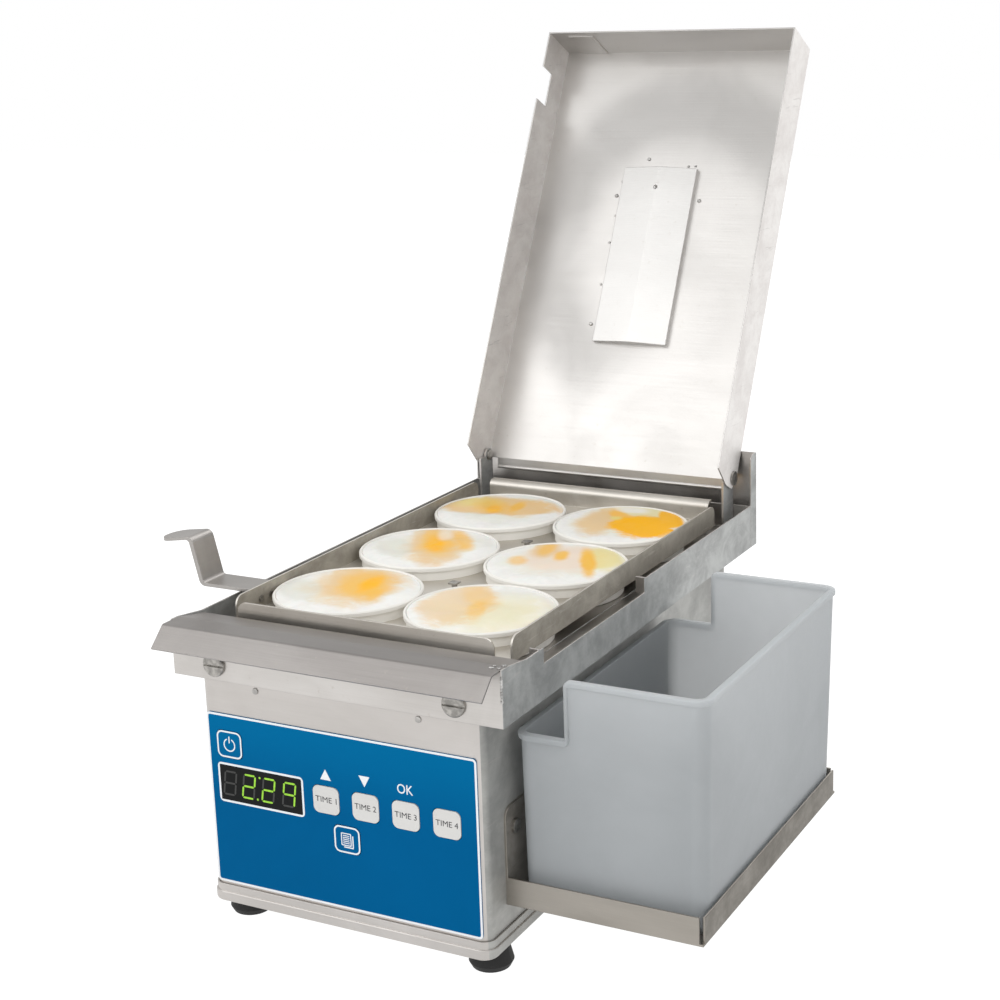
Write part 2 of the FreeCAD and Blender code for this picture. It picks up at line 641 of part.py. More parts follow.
# Skirted pan with its deck, drip lip, screws and rivets
def cook_pan():
    made = Piece("cook_pan")
    made.block((-S.pan_half, S.pan_half), (S.pan_front, S.pan_back), (S.pan_low, S.pan_top))
    inner = S.pan_half - S.gauge
    run = (S.pan_front + S.gauge, S.pan_back - S.gauge)
    made.block((-inner, inner), run, (S.deck_top, S.pan_top), cut=True)
    made.block((-inner, inner), run, (S.pan_low, shell_top), cut=True)
    hole = S.platen_half + S.platen_gap
    made.block((-hole, hole), (S.platen_front - S.platen_gap, S.platen_back + S.platen_gap),
               (shell_top, S.deck_top), cut=True)
    made.block((inner, S.pan_half), (S.cut_front, S.cut_back), (S.cut_top, S.pan_top), cut=True)
    for y in (S.cut_front - S.tab_setback, S.cut_back):
        made.block((inner - S.tab_width, inner), (y, y + S.gauge), (S.cut_top, S.pan_top + S.tab_rise))
        made.block((inner, S.pan_half), (y, y + S.gauge), (S.pan_top, S.pan_top + S.tab_rise))
    for wall in ((-S.pan_half, -inner), (inner, S.pan_half)):
        made.profile("YZ", [
            (S.pan_front, S.pan_top), (S.lip_rise_y, S.pan_top), (S.lip_back, S.pan_top),
            (S.lip_rise_y, S.lip_crest), (S.pan_front, S.lip_crest),
        ], wall)
    made.block((-inner, inner), (S.pan_front, S.pan_front + S.gauge), (S.pan_top, S.lip_crest - S.gauge))
    for side in (-1, 1):
        made.rod("Y", (side * S.skirt_screw_x, S.skirt_screw_z), S.skirt_hole,
                 (S.pan_front, S.pan_front + S.gauge), cut=True)
    corners = [along("z", {0: side * S.pan_half, 1: y}) for side in (-1, 1)
               for y in (S.pan_front, S.pan_back)]
    made.rounded(S.pan_edge_round, either(*corners))


def drip_lip():
    made = Piece("drip_lip")
    thick = S.gauge
    under = S.lip_crest - thick
    thin = thick * S.lip_thin_share
    reach = S.pan_half - thick - S.lip_end_gap
    made.profile("YZ", [
        (S.lip_back, S.deck_top), (S.lip_back, S.lip_foot), (S.lip_rise_y, S.lip_crest),
        (S.lip_bend_y, S.lip_crest), (S.lip_tip_y, S.lip_tip_z),
        (S.lip_tip_y + thin, S.lip_tip_z - thin), (S.lip_bend_y + thin / 2, under),
        (S.lip_rise_y, under), (S.lip_back - thick, S.lip_foot - thick),
        (S.lip_back - thick, S.deck_top),
    ], (-reach, reach))
    crest = along("x", {1: S.lip_bend_y, 2: S.lip_crest})
    fold = along("x", {1: S.lip_bend_y + thin / 2, 2: under})
    made.rounded(S.bend_radius, either(crest, fold))


def skirt_screws():
    made = Piece("skirt_screws")
    for side in (-1, 1):
        across = (side * S.skirt_screw_x, S.skirt_screw_z)
        head = (S.pan_front - S.skirt_screw_head, S.pan_front)
        made.rod("Y", across, S.skirt_screw_radius, head)
        made.rod("Y", across, S.skirt_shank, (S.pan_front, S.gauge * 5))
        made.rounded(S.skirt_screw_round, round_rim(head[0], across))
        made.block(pair(across[0], S.skirt_screw_radius * 2), (head[0], head[0] + S.screw_slot_depth),
                   pair(across[1], S.screw_slot), cut=True)
        made.rod("Y", across, S.skirt_nut, (S.gauge, S.gauge * 3))


def round_rim(level, across):
    """A test for the circle at one level along Y round a place."""

    def test(edge):
        if edge.Curve.TypeId != "Part::GeomCircle":
            return False
        middle = edge.Curve.Center
        off = (middle.x - as_size(across[0]).value, middle.z - as_size(across[1]).value)
        return abs(middle.y - as_size(level).value) < 0.01 and max(map(abs, off)) < 0.01

    return test


def body_rivets():
    made = Piece("body_rivets")
    for side in (-1, 1):
        across = (side * S.body_rivet_x, S.body_rivet_z)
        made.rod("Y", across, S.small_rivet, (-S.rivet_head, 0))
        made.rod("Y", across, S.small_rivet / 2, (0, S.gauge * 2))
        made.rounded(S.rivet_head / 2, round_rim(-S.rivet_head, across))


# Platen and heating parts
def heating():
    plate = Piece("platen")
    plate.block((-S.platen_half, S.platen_half), (S.platen_front, S.platen_back),
                (platen_low, S.deck_top))
    plate.rounded(S.platen_radius, along("z"))
    element = Piece("heating_elements")
    spread = S.heater_half * 2 / 3
    ends = (S.platen_front + S.heater_end, S.platen_back - S.heater_end)
    for number in range(4):
        element.rod("Y", (number * spread - S.heater_half, heater_mid), S.heater_radius, ends)
    clamp = Piece("element_clamps")
    for share in (0.25, 0.75):
        y = ends[0] + (ends[1] - ends[0]) * share
        clamp.block(pair(0, S.heater_half * 2 + S.clamp_width), pair(y, S.clamp_width),
                    (clamp_low, clamp_low + S.clamp_gauge))
    probe = Piece("temperature_probe")
    probe.rod("Y", (spread / 2 - S.heater_half, platen_low - S.probe_radius), S.probe_radius,
              (platen_middle - S.probe_length / 2, platen_middle + S.probe_length / 2))
    cutout = Piece("overheat_cutout")
    cutout.rod("Z", (S.heater_half - spread / 2, platen_middle), S.cutout_radius,
               (platen_low - S.cutout_high, platen_low))
    blanket = Piece("insulation_blanket")
    reach = S.heater_half + S.clamp_width
    blanket.block((-reach, reach), (S.platen_front + S.heater_end / 2, S.platen_back - S.heater_end / 2),
                  (blanket_low, clamp_low))
    well = S.cutout_radius * 3
    blanket.block(pair(S.heater_half - spread / 2, well), pair(platen_middle, well),
                  (clamp_low - S.cutout_high, clamp_low), cut=True)
    shield = Piece("heat_shield")
    wide = half - S.gauge
    low = blanket_low - S.shield_gauge
    shield.block((-wide, wide), (board_back + S.shield_drop, S.body_depth - S.shield_drop),
                 (low, blanket_low))
    for side in (-1, 1):
        shield.block(sided(side, wide - S.shield_gauge, wide),
                     (board_back + S.shield_drop, S.body_depth - S.shield_drop),
                     (low - S.shield_drop, low))


# Power parts on the base pan
def power_parts():
    core = Piece("transformer_core")
    core.block(pair(S.core_x, S.core_width), pair(S.core_y, S.core_depth),
               (floor_top, floor_top + S.core_high))
    window = pair(floor_top + S.core_high / 2, S.coil_high)
    core.block(pair(S.core_x, S.coil_width), pair(S.core_y, S.core_depth), window, cut=True)
    coil = Piece("transformer_coil")
    coil.block(pair(S.core_x, S.coil_width), pair(S.core_y, S.coil_depth), window)
    coil.rounded(S.corner_radius, along("y"))
    relay = Piece("power_relay")
    relay.block(pair(S.relay_x, S.relay_width), pair(S.relay_y, S.relay_depth),
                (floor_top, floor_top + S.relay_high))
    relay.rounded(S.gauge, along("z"))
    block = Piece("terminal_block")
    block.block(pair(S.block_x, S.block_width), pair(S.block_y, S.block_depth),
                (floor_top, floor_top + S.block_high))
    for number in range(5):
        x = S.block_x + (number - 2) * S.block_width / 5
        front = (S.block_y - S.block_depth / 2, S.block_y - S.block_depth / 4)
        block.block(pair(x, S.block_width / 8), front,
                    (floor_top + S.block_high / 2, floor_top + S.block_high), cut=True)


# Ring rack with its rings, clips and handle
def rack_tray():
    made = Piece("rack_tray")
    wide = S.rack_half
    made.block((-wide, wide), (S.rack_front, S.rack_back), (S.rack_floor, S.rack_top))
    inner = wide - S.rack_gauge
    made.block((-inner, inner), (S.rack_front + S.rack_gauge, S.rack_back - S.rack_gauge),
               (rack_floor_top, S.rack_top), cut=True)
    for side in (-1, 1):
        for y in (S.rack_front, S.rack_back - S.rack_corner):
            made.block(sided(side, wide - S.rack_corner, wide), (y, y + S.rack_corner),
                       (S.rack_floor, S.rack_top), cut=True)
    ledge = S.rack_half - S.rack_corner
    made.block((-ledge, ledge), (S.rack_back, S.rack_back + S.rack_ledge),
               (S.rack_top - S.rack_gauge, S.rack_top))
    fold = along("x", {1: S.rack_back, 2: S.rack_top - S.rack_gauge})
    made.rounded(S.rack_ledge_round, fold)
    crest = along("x", {1: S.rack_back - S.rack_gauge, 2: S.rack_top})
    made.rounded(S.rack_ledge_round + S.rack_gauge, crest)
    for x, y in RINGS:
        made.rod("Z", (x, y), S.ring_wall + S.ring_slip, (S.rack_floor, rack_floor_top), cut=True)
    front_ends = along("y", {1: S.rack_front + S.rack_gauge / 2, 2: S.rack_top})
    side_ends = along("x", {1: S.rack_front + S.rack_corner, 2: S.rack_top})
    back_ends = along("x", {1: S.rack_back - S.rack_corner, 2: S.rack_top})
    made.rounded(S.rack_end_radius, either(front_ends, side_ends, back_ends))


def egg_rings():
    rim_low = S.ring_top - S.rim_depth
    throat = S.step_radius - S.step_in
    for number, place in enumerate(RINGS, start=1):
        made = Piece(f"egg_ring_{number}")
        made.turned([
            (S.ring_bore, S.ring_low), (S.ring_wall, S.ring_low), (S.ring_wall, rack_floor_top),
            (S.step_radius, rack_floor_top), (S.step_radius, rim_low), (S.ring_radius, rim_low),
            (S.ring_radius, S.ring_top - S.rim_round), (S.ring_radius - S.rim_round, S.ring_top),
            (S.step_radius, S.ring_top), (throat, rim_low), (S.ring_bore, S.rack_floor),
        ], place)


def ring_clips():
    made = Piece("ring_clips")
    for row in range(2):
        y = S.ring_first + (row + 0.5) * S.ring_pitch
        made.rod("Z", (0, y), S.clip_radius, (rack_floor_top, rack_floor_top + S.clip_high))
        high = (rack_floor_top + S.clip_high, rack_floor_top + S.clip_high + S.clip_gauge)
        made.block(pair(0, S.clip_arm), pair(y, S.clip_arm), high)


def rack_handle():
    made = Piece("rack_handle")
    root = -S.rack_half
    thick = S.handle_gauge
    low = S.handle_low
    made.profile("XZ", [
        (root, low - S.handle_tab), (root, low + thick), (S.handle_bend_x + thick * 0.8, low + thick),
        (S.handle_rise_x + thick * 0.8, S.handle_rise_z + thick), (S.handle_end_x, S.handle_end_z + thick),
        (S.handle_end_x, S.handle_end_z), (S.handle_rise_x - thick * 0.4, S.handle_rise_z),
        (S.handle_bend_x - thick * 0.4, low), (root - thick, low), (root - thick, low - S.handle_tab),
    ], (S.handle_front, S.handle_front + S.handle_width))
    grip_end = along("z", {0: S.handle_end_x})
    made.rounded(S.handle_grip_round, grip_end)
    middle = S.handle_front + S.handle_width / 2
    bends = [(S.handle_bend_x + thick * 0.8, low + thick), (S.handle_rise_x - thick * 0.4, S.handle_rise_z)]
    made.rounded(S.bend_radius, either(*[along("y", {0: x, 1: middle, 2: z}) for x, z in bends]))
    outer = [(S.handle_rise_x + thick * 0.8, S.handle_rise_z + thick), (S.handle_bend_x - thick * 0.4, low)]
    made.rounded(S.bend_radius + thick, either(*[along("y", {0: x, 1: middle, 2: z}) for x, z in outer]))
    rivets = Piece("handle_rivets")
    for share in (0.25, 0.75):
        y = S.handle_front + S.handle_width * share
        z = low - S.handle_tab / 2
        rivets.rod("X", (y, z), S.small_rivet, (root - thick - S.rivet_head, root - thick))
        rivets.rod("X", (y, z), S.small_rivet, (root + S.rack_gauge, root + S.rack_gauge + S.rivet_head))


# Hinge, stop and lid; the lid's pieces are drawn closed and then swung open about the pins
def hinge():
    bracket = Piece("hinge_brackets")
    pins = Piece("hinge_pins")
    for side in (-1, 1):
        plate = sided(side, bracket_inner, bracket_outer)
        bracket.block(plate, (S.bracket_front, S.pin_y + S.pin_head), (S.deck_top, S.pin_z))
        bracket.rod("X", (S.pin_y, S.pin_z), S.pin_head, plate)
        foot = sided(side, bracket_outer, bracket_inner + S.bracket_foot)
        bracket.block(foot, (S.bracket_front, S.pin_y), (S.deck_top, S.deck_top + S.bracket_gauge))
        bracket.rod("X", (S.pin_y, S.pin_z), S.pin_radius, plate, cut=True)
        outside = S.lid_half + S.lid_end_gap
        shank = sided(side, bracket_inner - S.bracket_in, outside)
        head = sided(side, outside, outside + S.pin_head_depth)
        collar = sided(side, bracket_inner - S.bracket_in, bracket_inner)
        pins.rod("X", (S.pin_y, S.pin_z), S.pin_radius, shank)
        pins.rod("X", (S.pin_y, S.pin_z), S.pin_head, head)
        pins.rod("X", (S.pin_y, S.pin_z), S.pin_radius * 1.5, collar)


def rear_stop():
    made = Piece("rear_stop")
    back = stop_front + S.gauge
    made.block((-S.pan_half, S.pan_half), (stop_front, back), (S.pan_low, S.stop_top))
    for side in (-1, 1):
        flange = sided(side, S.pan_half - S.gauge, S.pan_half)
        made.block(flange, (S.pan_back, stop_front), (S.pan_low, S.stop_top))
    made.block((-S.pan_half, S.pan_half), (S.pan_back, stop_front), (S.pan_low, S.pan_low + S.gauge))
    corners = along("x", {1: S.pan_back, 2: S.stop_top})
    made.rounded(S.stop_round, corners)


def lid_shell():
    made = Piece("lid_shell")
    inner = S.lid_half - S.gauge
    made.block((-S.lid_half, S.lid_half), (S.lid_front, S.pin_y), (lid_inner, lid_outer))
    made.block((-S.lid_half, S.lid_half), (S.lid_front, S.lid_front + S.gauge), (lid_low, lid_inner))
    reach = S.lid_half - S.rail_in
    end_y, end_z = S.pin_y + S.rail_run, lid_inner + S.rail_rise
    made.profile("YZ", [
        (S.pin_y - S.gauge, lid_inner), (S.pin_y, lid_inner), (end_y, end_z), (end_y, end_z + S.gauge),
        (S.pin_y - S.gauge, lid_outer),
    ], (-reach, reach))
    made.rod("X", (end_y, end_z + S.gauge / 2), S.rail_hem, (-reach, reach))
    for side in (-1, 1):
        wall = sided(side, inner, S.lid_half)
        made.profile("YZ", [
            (S.lid_front, lid_low), (S.pin_y, lid_low), (S.pin_y + S.ear_back, S.ear_low),
            (S.pin_y + S.ear_back, S.ear_high), (S.pin_y, lid_outer), (S.lid_front, lid_outer),
        ], wall)
        made.rod("X", (S.pin_y, S.pin_z), S.pin_radius + S.pin_slip, wall, cut=True)
    made.block((-S.lid_half, -inner), (S.notch_front, S.notch_back), (lid_low, S.notch_top), cut=True)
    made.block(pair(S.well_fold_x, (S.well_half - S.well_seat) * 2),
               (S.well_front + S.well_seat, S.well_back - S.well_seat), (lid_inner, lid_outer), cut=True)
    return made


def lid_trimmings():
    well = Piece("lid_well")
    x0, x1 = S.well_fold_x - S.well_half, S.well_fold_x + S.well_half
    edge, fold = lid_inner - S.well_edge, lid_inner - S.well_fold
    well.profile("XZ", [(x0, edge), (S.well_fold_x, fold), (x1, edge), (x1, lid_inner), (x0, lid_inner)],
                 (S.well_front, S.well_back))
    thick = S.well_wall
    well.profile("XZ", [
        (x0 + thick, edge + thick), (S.well_fold_x, fold + thick), (x1 - thick, edge + thick),
        (x1 - thick, lid_inner), (x0 + thick, lid_inner),
    ], (S.well_front + thick, S.well_back - thick), cut=True)
    well.rod("Z", (S.well_fold_x, S.well_hole_y), S.well_hole_radius, (fold, fold + thick), cut=True)
    plate = Piece("lid_front_plate")
    front = S.lid_front + S.gauge
    plate.block((S.front_plate_low_x, S.front_plate_high_x), (front, front + S.front_plate_gauge),
                (lid_inner - S.front_plate_depth, lid_inner))
    grip = Piece("lid_handle")
    level = lid_outer + S.lid_grip_rise
    for side in (-1, 1):
        grip.rod("Z", (side * S.lid_grip_half, S.lid_grip_y), S.lid_grip_radius, (lid_outer, level))
        grip.rod("Z", (side * S.lid_grip_half, S.lid_grip_y), S.lid_grip_foot,
                 (lid_outer, lid_outer + S.gauge * 2))
    reach = S.lid_grip_half + S.lid_grip_radius
    grip.rod("X", (S.lid_grip_y, level), S.lid_grip_radius, (-reach, reach))
    return well, plate, grip


# Shelf and waste bin on the right-hand side
def bin_shelf():
    made = Piece("bin_shelf")
    left, right = half, S.shelf_right
    low, thick = S.shelf_low, S.shelf_gauge
    made.block((left, right), (S.shelf_front, S.shelf_back), (low, low + thick))
    made.block((left, left + thick), (S.shelf_front, S.shelf_back), (low, S.shelf_hanger))
    gap = thick + S.shelf_corner_gap
    for y in (S.shelf_front, S.shelf_back - thick):
        made.block((left, right - gap), (y, y + thick), (low, S.shelf_lip))
    made.block((right - thick, right), (S.shelf_front + gap, S.shelf_back - gap), (low, S.shelf_lip))
    edges = [along("y", {0: x, 2: S.shelf_lip}) for x in (right - thick, right)]
    made.rounded(S.shelf_edge_round, either(*edges))
    hanger = along("x", {0: left + thick / 2, 2: S.shelf_hanger})
    made.rounded(S.corner_radius, hanger)
    for y in SHELF_SCREWS:
        made.rod("X", (y, S.shelf_screw_z), S.screw_shank, (left, left + thick), cut=True)
    screws = Piece("shelf_screws")
    for y in SHELF_SCREWS:
        face = left + thick
        screws.rod("X", (y, S.shelf_screw_z), S.shelf_screw_radius, (face, face + S.shelf_screw_head))
        screws.rod("X", (y, S.shelf_screw_z), S.screw_shank - S.screw_slip, (left - S.gauge * 3, face))


def waste_bin():
    made = Piece("waste_bin")
    drawn, wall, roll = S.bin_taper, S.bin_wall, S.bin_roll
    low_x = (S.bin_left + drawn * S.bin_taper_in_share, S.bin_right - drawn)
    low_y = (S.bin_front + drawn, S.bin_back - drawn)
    top_x, top_y = (S.bin_left, S.bin_right), (S.bin_front, S.bin_back)
    wide_y = (S.bin_front - roll, S.bin_back + roll)
    made.lofted((low_x, low_y, S.bin_corner, S.bin_low), (top_x, top_y, S.bin_corner, S.bin_rim))
    made.block((S.bin_left - roll, S.bin_riser_x), wide_y, (S.bin_low_rim, S.bin_rim), cut=True)
    riser = S.bin_riser_x + S.bin_riser_roll
    rims = (
        (S.bin_riser_x, S.bin_right + roll, S.bin_right + roll, S.bin_rim),
        (S.bin_left - roll, riser, S.bin_left - roll, S.bin_low_rim),
    )
    for low, high, end, level in rims:
        made.block((low, high), wide_y, (level - S.bin_roll_high, level))
        made.rounded(S.bin_corner + roll, upright_at(end))
    for y in ((S.bin_front - roll, S.bin_front + wall), (S.bin_back - wall, S.bin_back + roll)):
        made.block((S.bin_riser_x, riser), y, (S.bin_low_rim - S.bin_roll_high, S.bin_rim))
    made.lofted(
        (inset(low_x, wall), inset(low_y, wall), S.bin_corner - wall, S.bin_low + wall),
        (inset(top_x, wall), inset(top_y, wall), S.bin_corner - wall, S.bin_rim),
        cut=True,
    )
    low_fold = S.bin_low_rim - S.bin_roll_high
    outer = either(along_y_at(S.bin_riser_x, S.bin_rim), along_y_at(riser, low_fold))
    made.rounded(S.bin_riser_radius, outer)
    high_fold = S.bin_rim - S.bin_roll_high
    inner = either(along_y_at(S.bin_riser_x, S.bin_low_rim), along_y_at(riser, high_fold))
    made.rounded(S.bin_riser_fold, inner)
    made.rounded(S.bin_roll_round, rolled_edge)


def rolled_edge(edge):
    """A test for the edges of the rolled rim that lie in its outermost faces."""
    box, near = edge.BoundBox, 0.01
    reaches = (
        box.XMax - (S.bin_right + S.bin_roll).value,
        box.XMin - (S.bin_left - S.bin_roll).value,
        box.YMax - (S.bin_back + S.bin_roll).value,
        box.YMin - (S.bin_front - S.bin_roll).value,
    )
    seam = along("z")(edge) and box.ZLength < S.bin_roll_high.value + near
    return min(map(abs, reaches)) < near and not seam


def along_y_at(x, z):
    """A test for edges along Y at one x and z."""
    return along("y", {0: x, 2: z})


def upright_at(x):
    """A test for upright edges at one x."""
    return lambda edge: along("z")(edge) and abs(edge.CenterOfMass.x - as_size(x).value) < 0.01


base_pan()
feet()
body_shell()
rear_panel()
cord_gland()
front_overlay()
display_window()
keys()
control_board()
cook_pan()
drip_lip()
skirt_screws()
body_rivets()
heating()
power_parts()
rack_tray()
egg_rings()
ring_clips()
rack_handle()
hinge()
rear_stop()
lid_parts = [lid_shell(), *lid_trimmings()]
bin_shelf()
waste_bin()
doc.recompute()

# Swing the lid open about its pins, then move everything so that the origin is on the floor
# under the middle of the whole
pin = FreeCAD.Vector(0, S.pin_y.value, S.pin_z.value)
swing = FreeCAD.Rotation(FreeCAD.Vector(1, 0, 0), -S.open_angle.value)
for made in lid_parts:
    made.body.Placement = FreeCAD.Placement(FreeCAD.Vector(), swing, pin)
doc.recompute()
whole = FreeCAD.BoundBox()
for body in pieces:
    whole.add(body.Shape.optimalBoundingBox(False, False))
middle = whole.Center
move = FreeCAD.Placement(FreeCAD.Vector(-middle.x, -middle.y, 0), FreeCAD.Rotation())
for body in pieces:
    body.Placement = move.multiply(body.Placement)
doc.recompute()

# Check every object and every cut, then write the pieces
for thing in doc.Objects:
    if {"Invalid", "Error"} & set(thing.State):
        raise RuntimeError(f"{thing.Label}: {thing.State}")
for feature in cuts:
    if feature.Shape.Volume >= feature.BaseFeature.Shape.Volume - 1e-6:
        raise RuntimeError(f"{feature.Label}: cuts nothing")
for body in pieces:
    if body.Shape.isNull() or not body.Shape.isValid():
        raise RuntimeError(f"{body.Label}: bad shape")

os.makedirs("parts", exist_ok=True)
for body in pieces:
    body.Shape.exportStep(f"parts/{body.Label}.step")
print(f"{len(pieces)} pieces; origin at x {middle.x:.3f}, y {middle.y:.3f} of the drawing frame")
print(f"size {whole.XLength:.1f} x {whole.YLength:.1f} x {whole.ZLength:.1f}, lowest {whole.ZMin:.4f}")
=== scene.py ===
"""Looks for the countertop egg cooker: finishes on its solids, printed panel, eggs, welds and studio."""

import math
import random

import bmesh
import bpy
from mathutils import Matrix, Vector


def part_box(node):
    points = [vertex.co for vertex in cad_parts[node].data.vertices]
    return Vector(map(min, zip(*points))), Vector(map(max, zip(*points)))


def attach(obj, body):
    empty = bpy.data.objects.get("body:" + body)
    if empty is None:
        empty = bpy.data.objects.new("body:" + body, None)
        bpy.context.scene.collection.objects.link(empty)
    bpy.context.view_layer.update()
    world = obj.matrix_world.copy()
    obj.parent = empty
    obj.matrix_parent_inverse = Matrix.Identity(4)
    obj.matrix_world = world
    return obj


bl_info = {
    "name": "Egg Cooker Looks",
    "version": (1, 0, 0),
    "blender": (4, 5, 0),
    "location": "View3D > Sidebar > Egg Cooker",
    "description": "Dresses the packed egg cooker and sets up its studio",
    "category": "Object",
}

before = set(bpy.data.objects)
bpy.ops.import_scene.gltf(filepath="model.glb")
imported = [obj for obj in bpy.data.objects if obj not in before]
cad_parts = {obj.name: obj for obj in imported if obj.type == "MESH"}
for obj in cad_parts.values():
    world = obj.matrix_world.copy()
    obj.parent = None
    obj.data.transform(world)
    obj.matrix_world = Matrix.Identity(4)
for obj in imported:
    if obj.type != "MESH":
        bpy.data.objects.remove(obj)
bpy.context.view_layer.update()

MM = 0.001
shell_low, shell_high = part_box("body_shell")
ORIGIN = Vector(((shell_low.x + shell_high.x) / 2, shell_low.y, 0))
PIN = Vector((0, 430, 250))
OPEN_TURN = -117.3
LID_SWING = Matrix.Rotation(math.radians(OPEN_TURN), 3, "X")

# Brushed grain in waves a metre, along a stroke and across it
STROKE, HAIR = 14, 900
DUST = (0.42, 0.38, 0.33)
SIDE_DULLNESS = 0.32


def at(x, y, z):
    """A place in the shared frame from millimetres off the cabinet's middle, its front and the floor."""
    return ORIGIN + Vector((x, y, z)) * MM


def on_lid(x, y, z):
    """Where a place of the shut lid lies with the lid open."""
    return at(*(PIN + LID_SWING @ (Vector((x, y, z)) - PIN)))


# Shader sums


class Value:
    """A socket whose sums add Math nodes to its material."""

    def __init__(self, finish, socket):
        self.finish, self.socket = finish, socket

    def sum(self, operation, *others):
        inputs = dict(enumerate((self, *others)))
        return self.finish.node("ShaderNodeMath", {"operation": operation}, inputs)

    def __add__(self, other):
        return self.sum("ADD", other)

    __radd__ = __add__

    def __sub__(self, other):
        return self.sum("SUBTRACT", other)

    def __rsub__(self, other):
        return self.finish.node("ShaderNodeMath", {"operation": "SUBTRACT"}, {0: other, 1: self})

    def __mul__(self, other):
        return self.sum("MULTIPLY", other)

    __rmul__ = __mul__

    def __truediv__(self, other):
        return self.sum("DIVIDE", other)

    def __gt__(self, other):
        return self.sum("GREATER_THAN", other)

    def __abs__(self):
        return self.sum("ABSOLUTE")

    def between(self, low, high):
        """0 at low and below, 1 at high and above, smooth between."""
        return self.finish.node(
            "ShaderNodeMapRange", {"interpolation_type": "SMOOTHSTEP"}, {0: self, 1: low, 2: high}
        )


class Finish:
    """A material and the one way of adding nodes to it."""

    def __init__(self, name, **shine):
        self.material = bpy.data.materials.new(name)
        self.material.use_nodes = True
        self.tree = self.material.node_tree
        self.shader = self.tree.nodes["Principled BSDF"]
        self.set(**shine)

    def node(self, kind, settings=None, inputs=None, out=0):
        made = self.tree.nodes.new(kind)
        for name, value in (settings or {}).items():
            if name == "stops":
                ramp = made.color_ramp.elements
                for place, (where, colour) in enumerate(value):
                    stop = ramp[place] if place < 2 else ramp.new(where)
                    stop.position, stop.color = where, (*colour, 1)
            else:
                setattr(made, name, value)
        for name, value in (inputs or {}).items():
            self.plug(made.inputs[name], value)
        return Value(self, made.outputs[out])

    def plug(self, socket, value):
        if isinstance(value, Value):
            self.tree.links.new(value.socket, socket)
        elif hasattr(value, "__len__") and len(value) == 3 and len(socket.default_value) == 4:
            socket.default_value = (*value, 1)
        else:
            socket.default_value = value

    def set(self, **shine):
        """Sets or links the surface shader's sockets, spaces written as underscores."""
        for name, value in shine.items():
            self.plug(self.shader.inputs[name.replace("_", " ")], value)
        return self

    def place(self, kind="Object"):
        return self.node("ShaderNodeTexCoord", out=kind)

    def stretched(self, place, scale):
        return self.node("ShaderNodeVectorMath", {"operation": "MULTIPLY"}, {0: place, 1: scale})

    def noise(self, place, scale, detail=3.0, rough=0.5, wander=0.0):
        return self.node(
            "ShaderNodeTexNoise",
            None,
            {"Vector": place, "Scale": scale, "Detail": detail, "Roughness": rough, "Distortion": wander},
        )

    def mix(self, share, first, second):
        return self.node(
            "ShaderNodeMix", {"data_type": "RGBA"}, {0: share, 6: first, 7: second}, out=2
        )

    def bump(self, height, strength, distance, edge=None):
        inputs = {"Height": height, "Strength": strength, "Distance": distance}
        if edge:
            inputs["Normal"] = self.node("ShaderNodeBevel", {"samples": 4}, {"Radius": edge})
        return self.node("ShaderNodeBump", None, inputs)

    def parts(self, vector):
        made = self.tree.nodes.new("ShaderNodeSeparateXYZ")
        self.tree.links.new(vector.socket, made.inputs[0])
        return [Value(self, made.outputs[n]) for n in range(3)]


def satin_steel(name, light, dark, rough, haze=0.0, side=None, painted_arc=False):
    """Brushed stainless sheet with grain, wiping marks and haze; its side faces are duller and have their own
    tones, painted shade on most parts and painted light on the lid; an optional painted shade arc marks a
    reflection's edge.
    """
    made = Finish(name, Metallic=1.0, Specular_IOR_Level=0.5)
    place = made.place()
    facing = made.parts(made.place("Normal"))
    across = abs(facing[0]) > 0.7
    lengthwise = made.noise(made.stretched(place, (STROKE, HAIR, HAIR)), 1.0, 2.0)
    sideways = made.noise(made.stretched(place, (HAIR, STROKE, HAIR)), 1.0, 2.0)
    hair = lengthwise + across * (sideways - lengthwise)
    cloud = made.noise(place, 7.0, 5.0, 0.55, 1.2)
    wipe = made.noise(made.stretched(place, (6, 22, 22)), 1.0, 4.0, 0.6, 0.6)
    speck = made.noise(place, 160.0, 3.0, 0.7).between(0.62, 0.8)
    tone = cloud.between(0.3, 0.72) * 0.6 + wipe.between(0.3, 0.7) * 0.25 + hair * 0.3
    steel = made.mix(tone, dark, light)
    dust_and_painted_shading = made.mix(speck * (0.25 + haze), steel, DUST)
    # Painted shade and painted light: faces turned to ±x get their own tones, darker on the body, pan, shelf
    # and rack and paler on the lid, with real blotches and scratch wear over them.
    if side:
        dull, bright = side
        blotch = made.noise(made.stretched(place, (38, 30, 38)), 1.0, 5.0, 0.7, 0.3).between(0.3, 0.7)
        scratch = made.noise(made.stretched(place, (300, 26, 300)), 1.0, 3.0, 0.7, 0.8).between(0.62, 0.72)
        worn = made.mix(scratch * 0.35, made.mix(blotch, dull, bright), light)
        dust_and_painted_shading = made.mix(across, dust_and_painted_shading, worn)
        rough = across * SIDE_DULLNESS + rough
    # Painted shade: a darker arc on the lid's inner faces stands in for the edge of a lamp's reflection.
    if painted_arc:
        inside = (facing[1] * -1 > 0.2) * (1 - across)
        arc_shade = tuple(0.62 * part for part in dark)
        dust_and_painted_shading = made.mix(painted_reflection_arc(made, place) * inside, dust_and_painted_shading, arc_shade)
    made.set(
        Base_Color=dust_and_painted_shading,
        Roughness=rough + hair * 0.1 + cloud.between(0.35, 0.7) * 0.12 + haze * 0.1,
        Normal=made.bump(hair + cloud * 0.6, 0.12, 0.0004, 0.0007),
    )
    return made.material


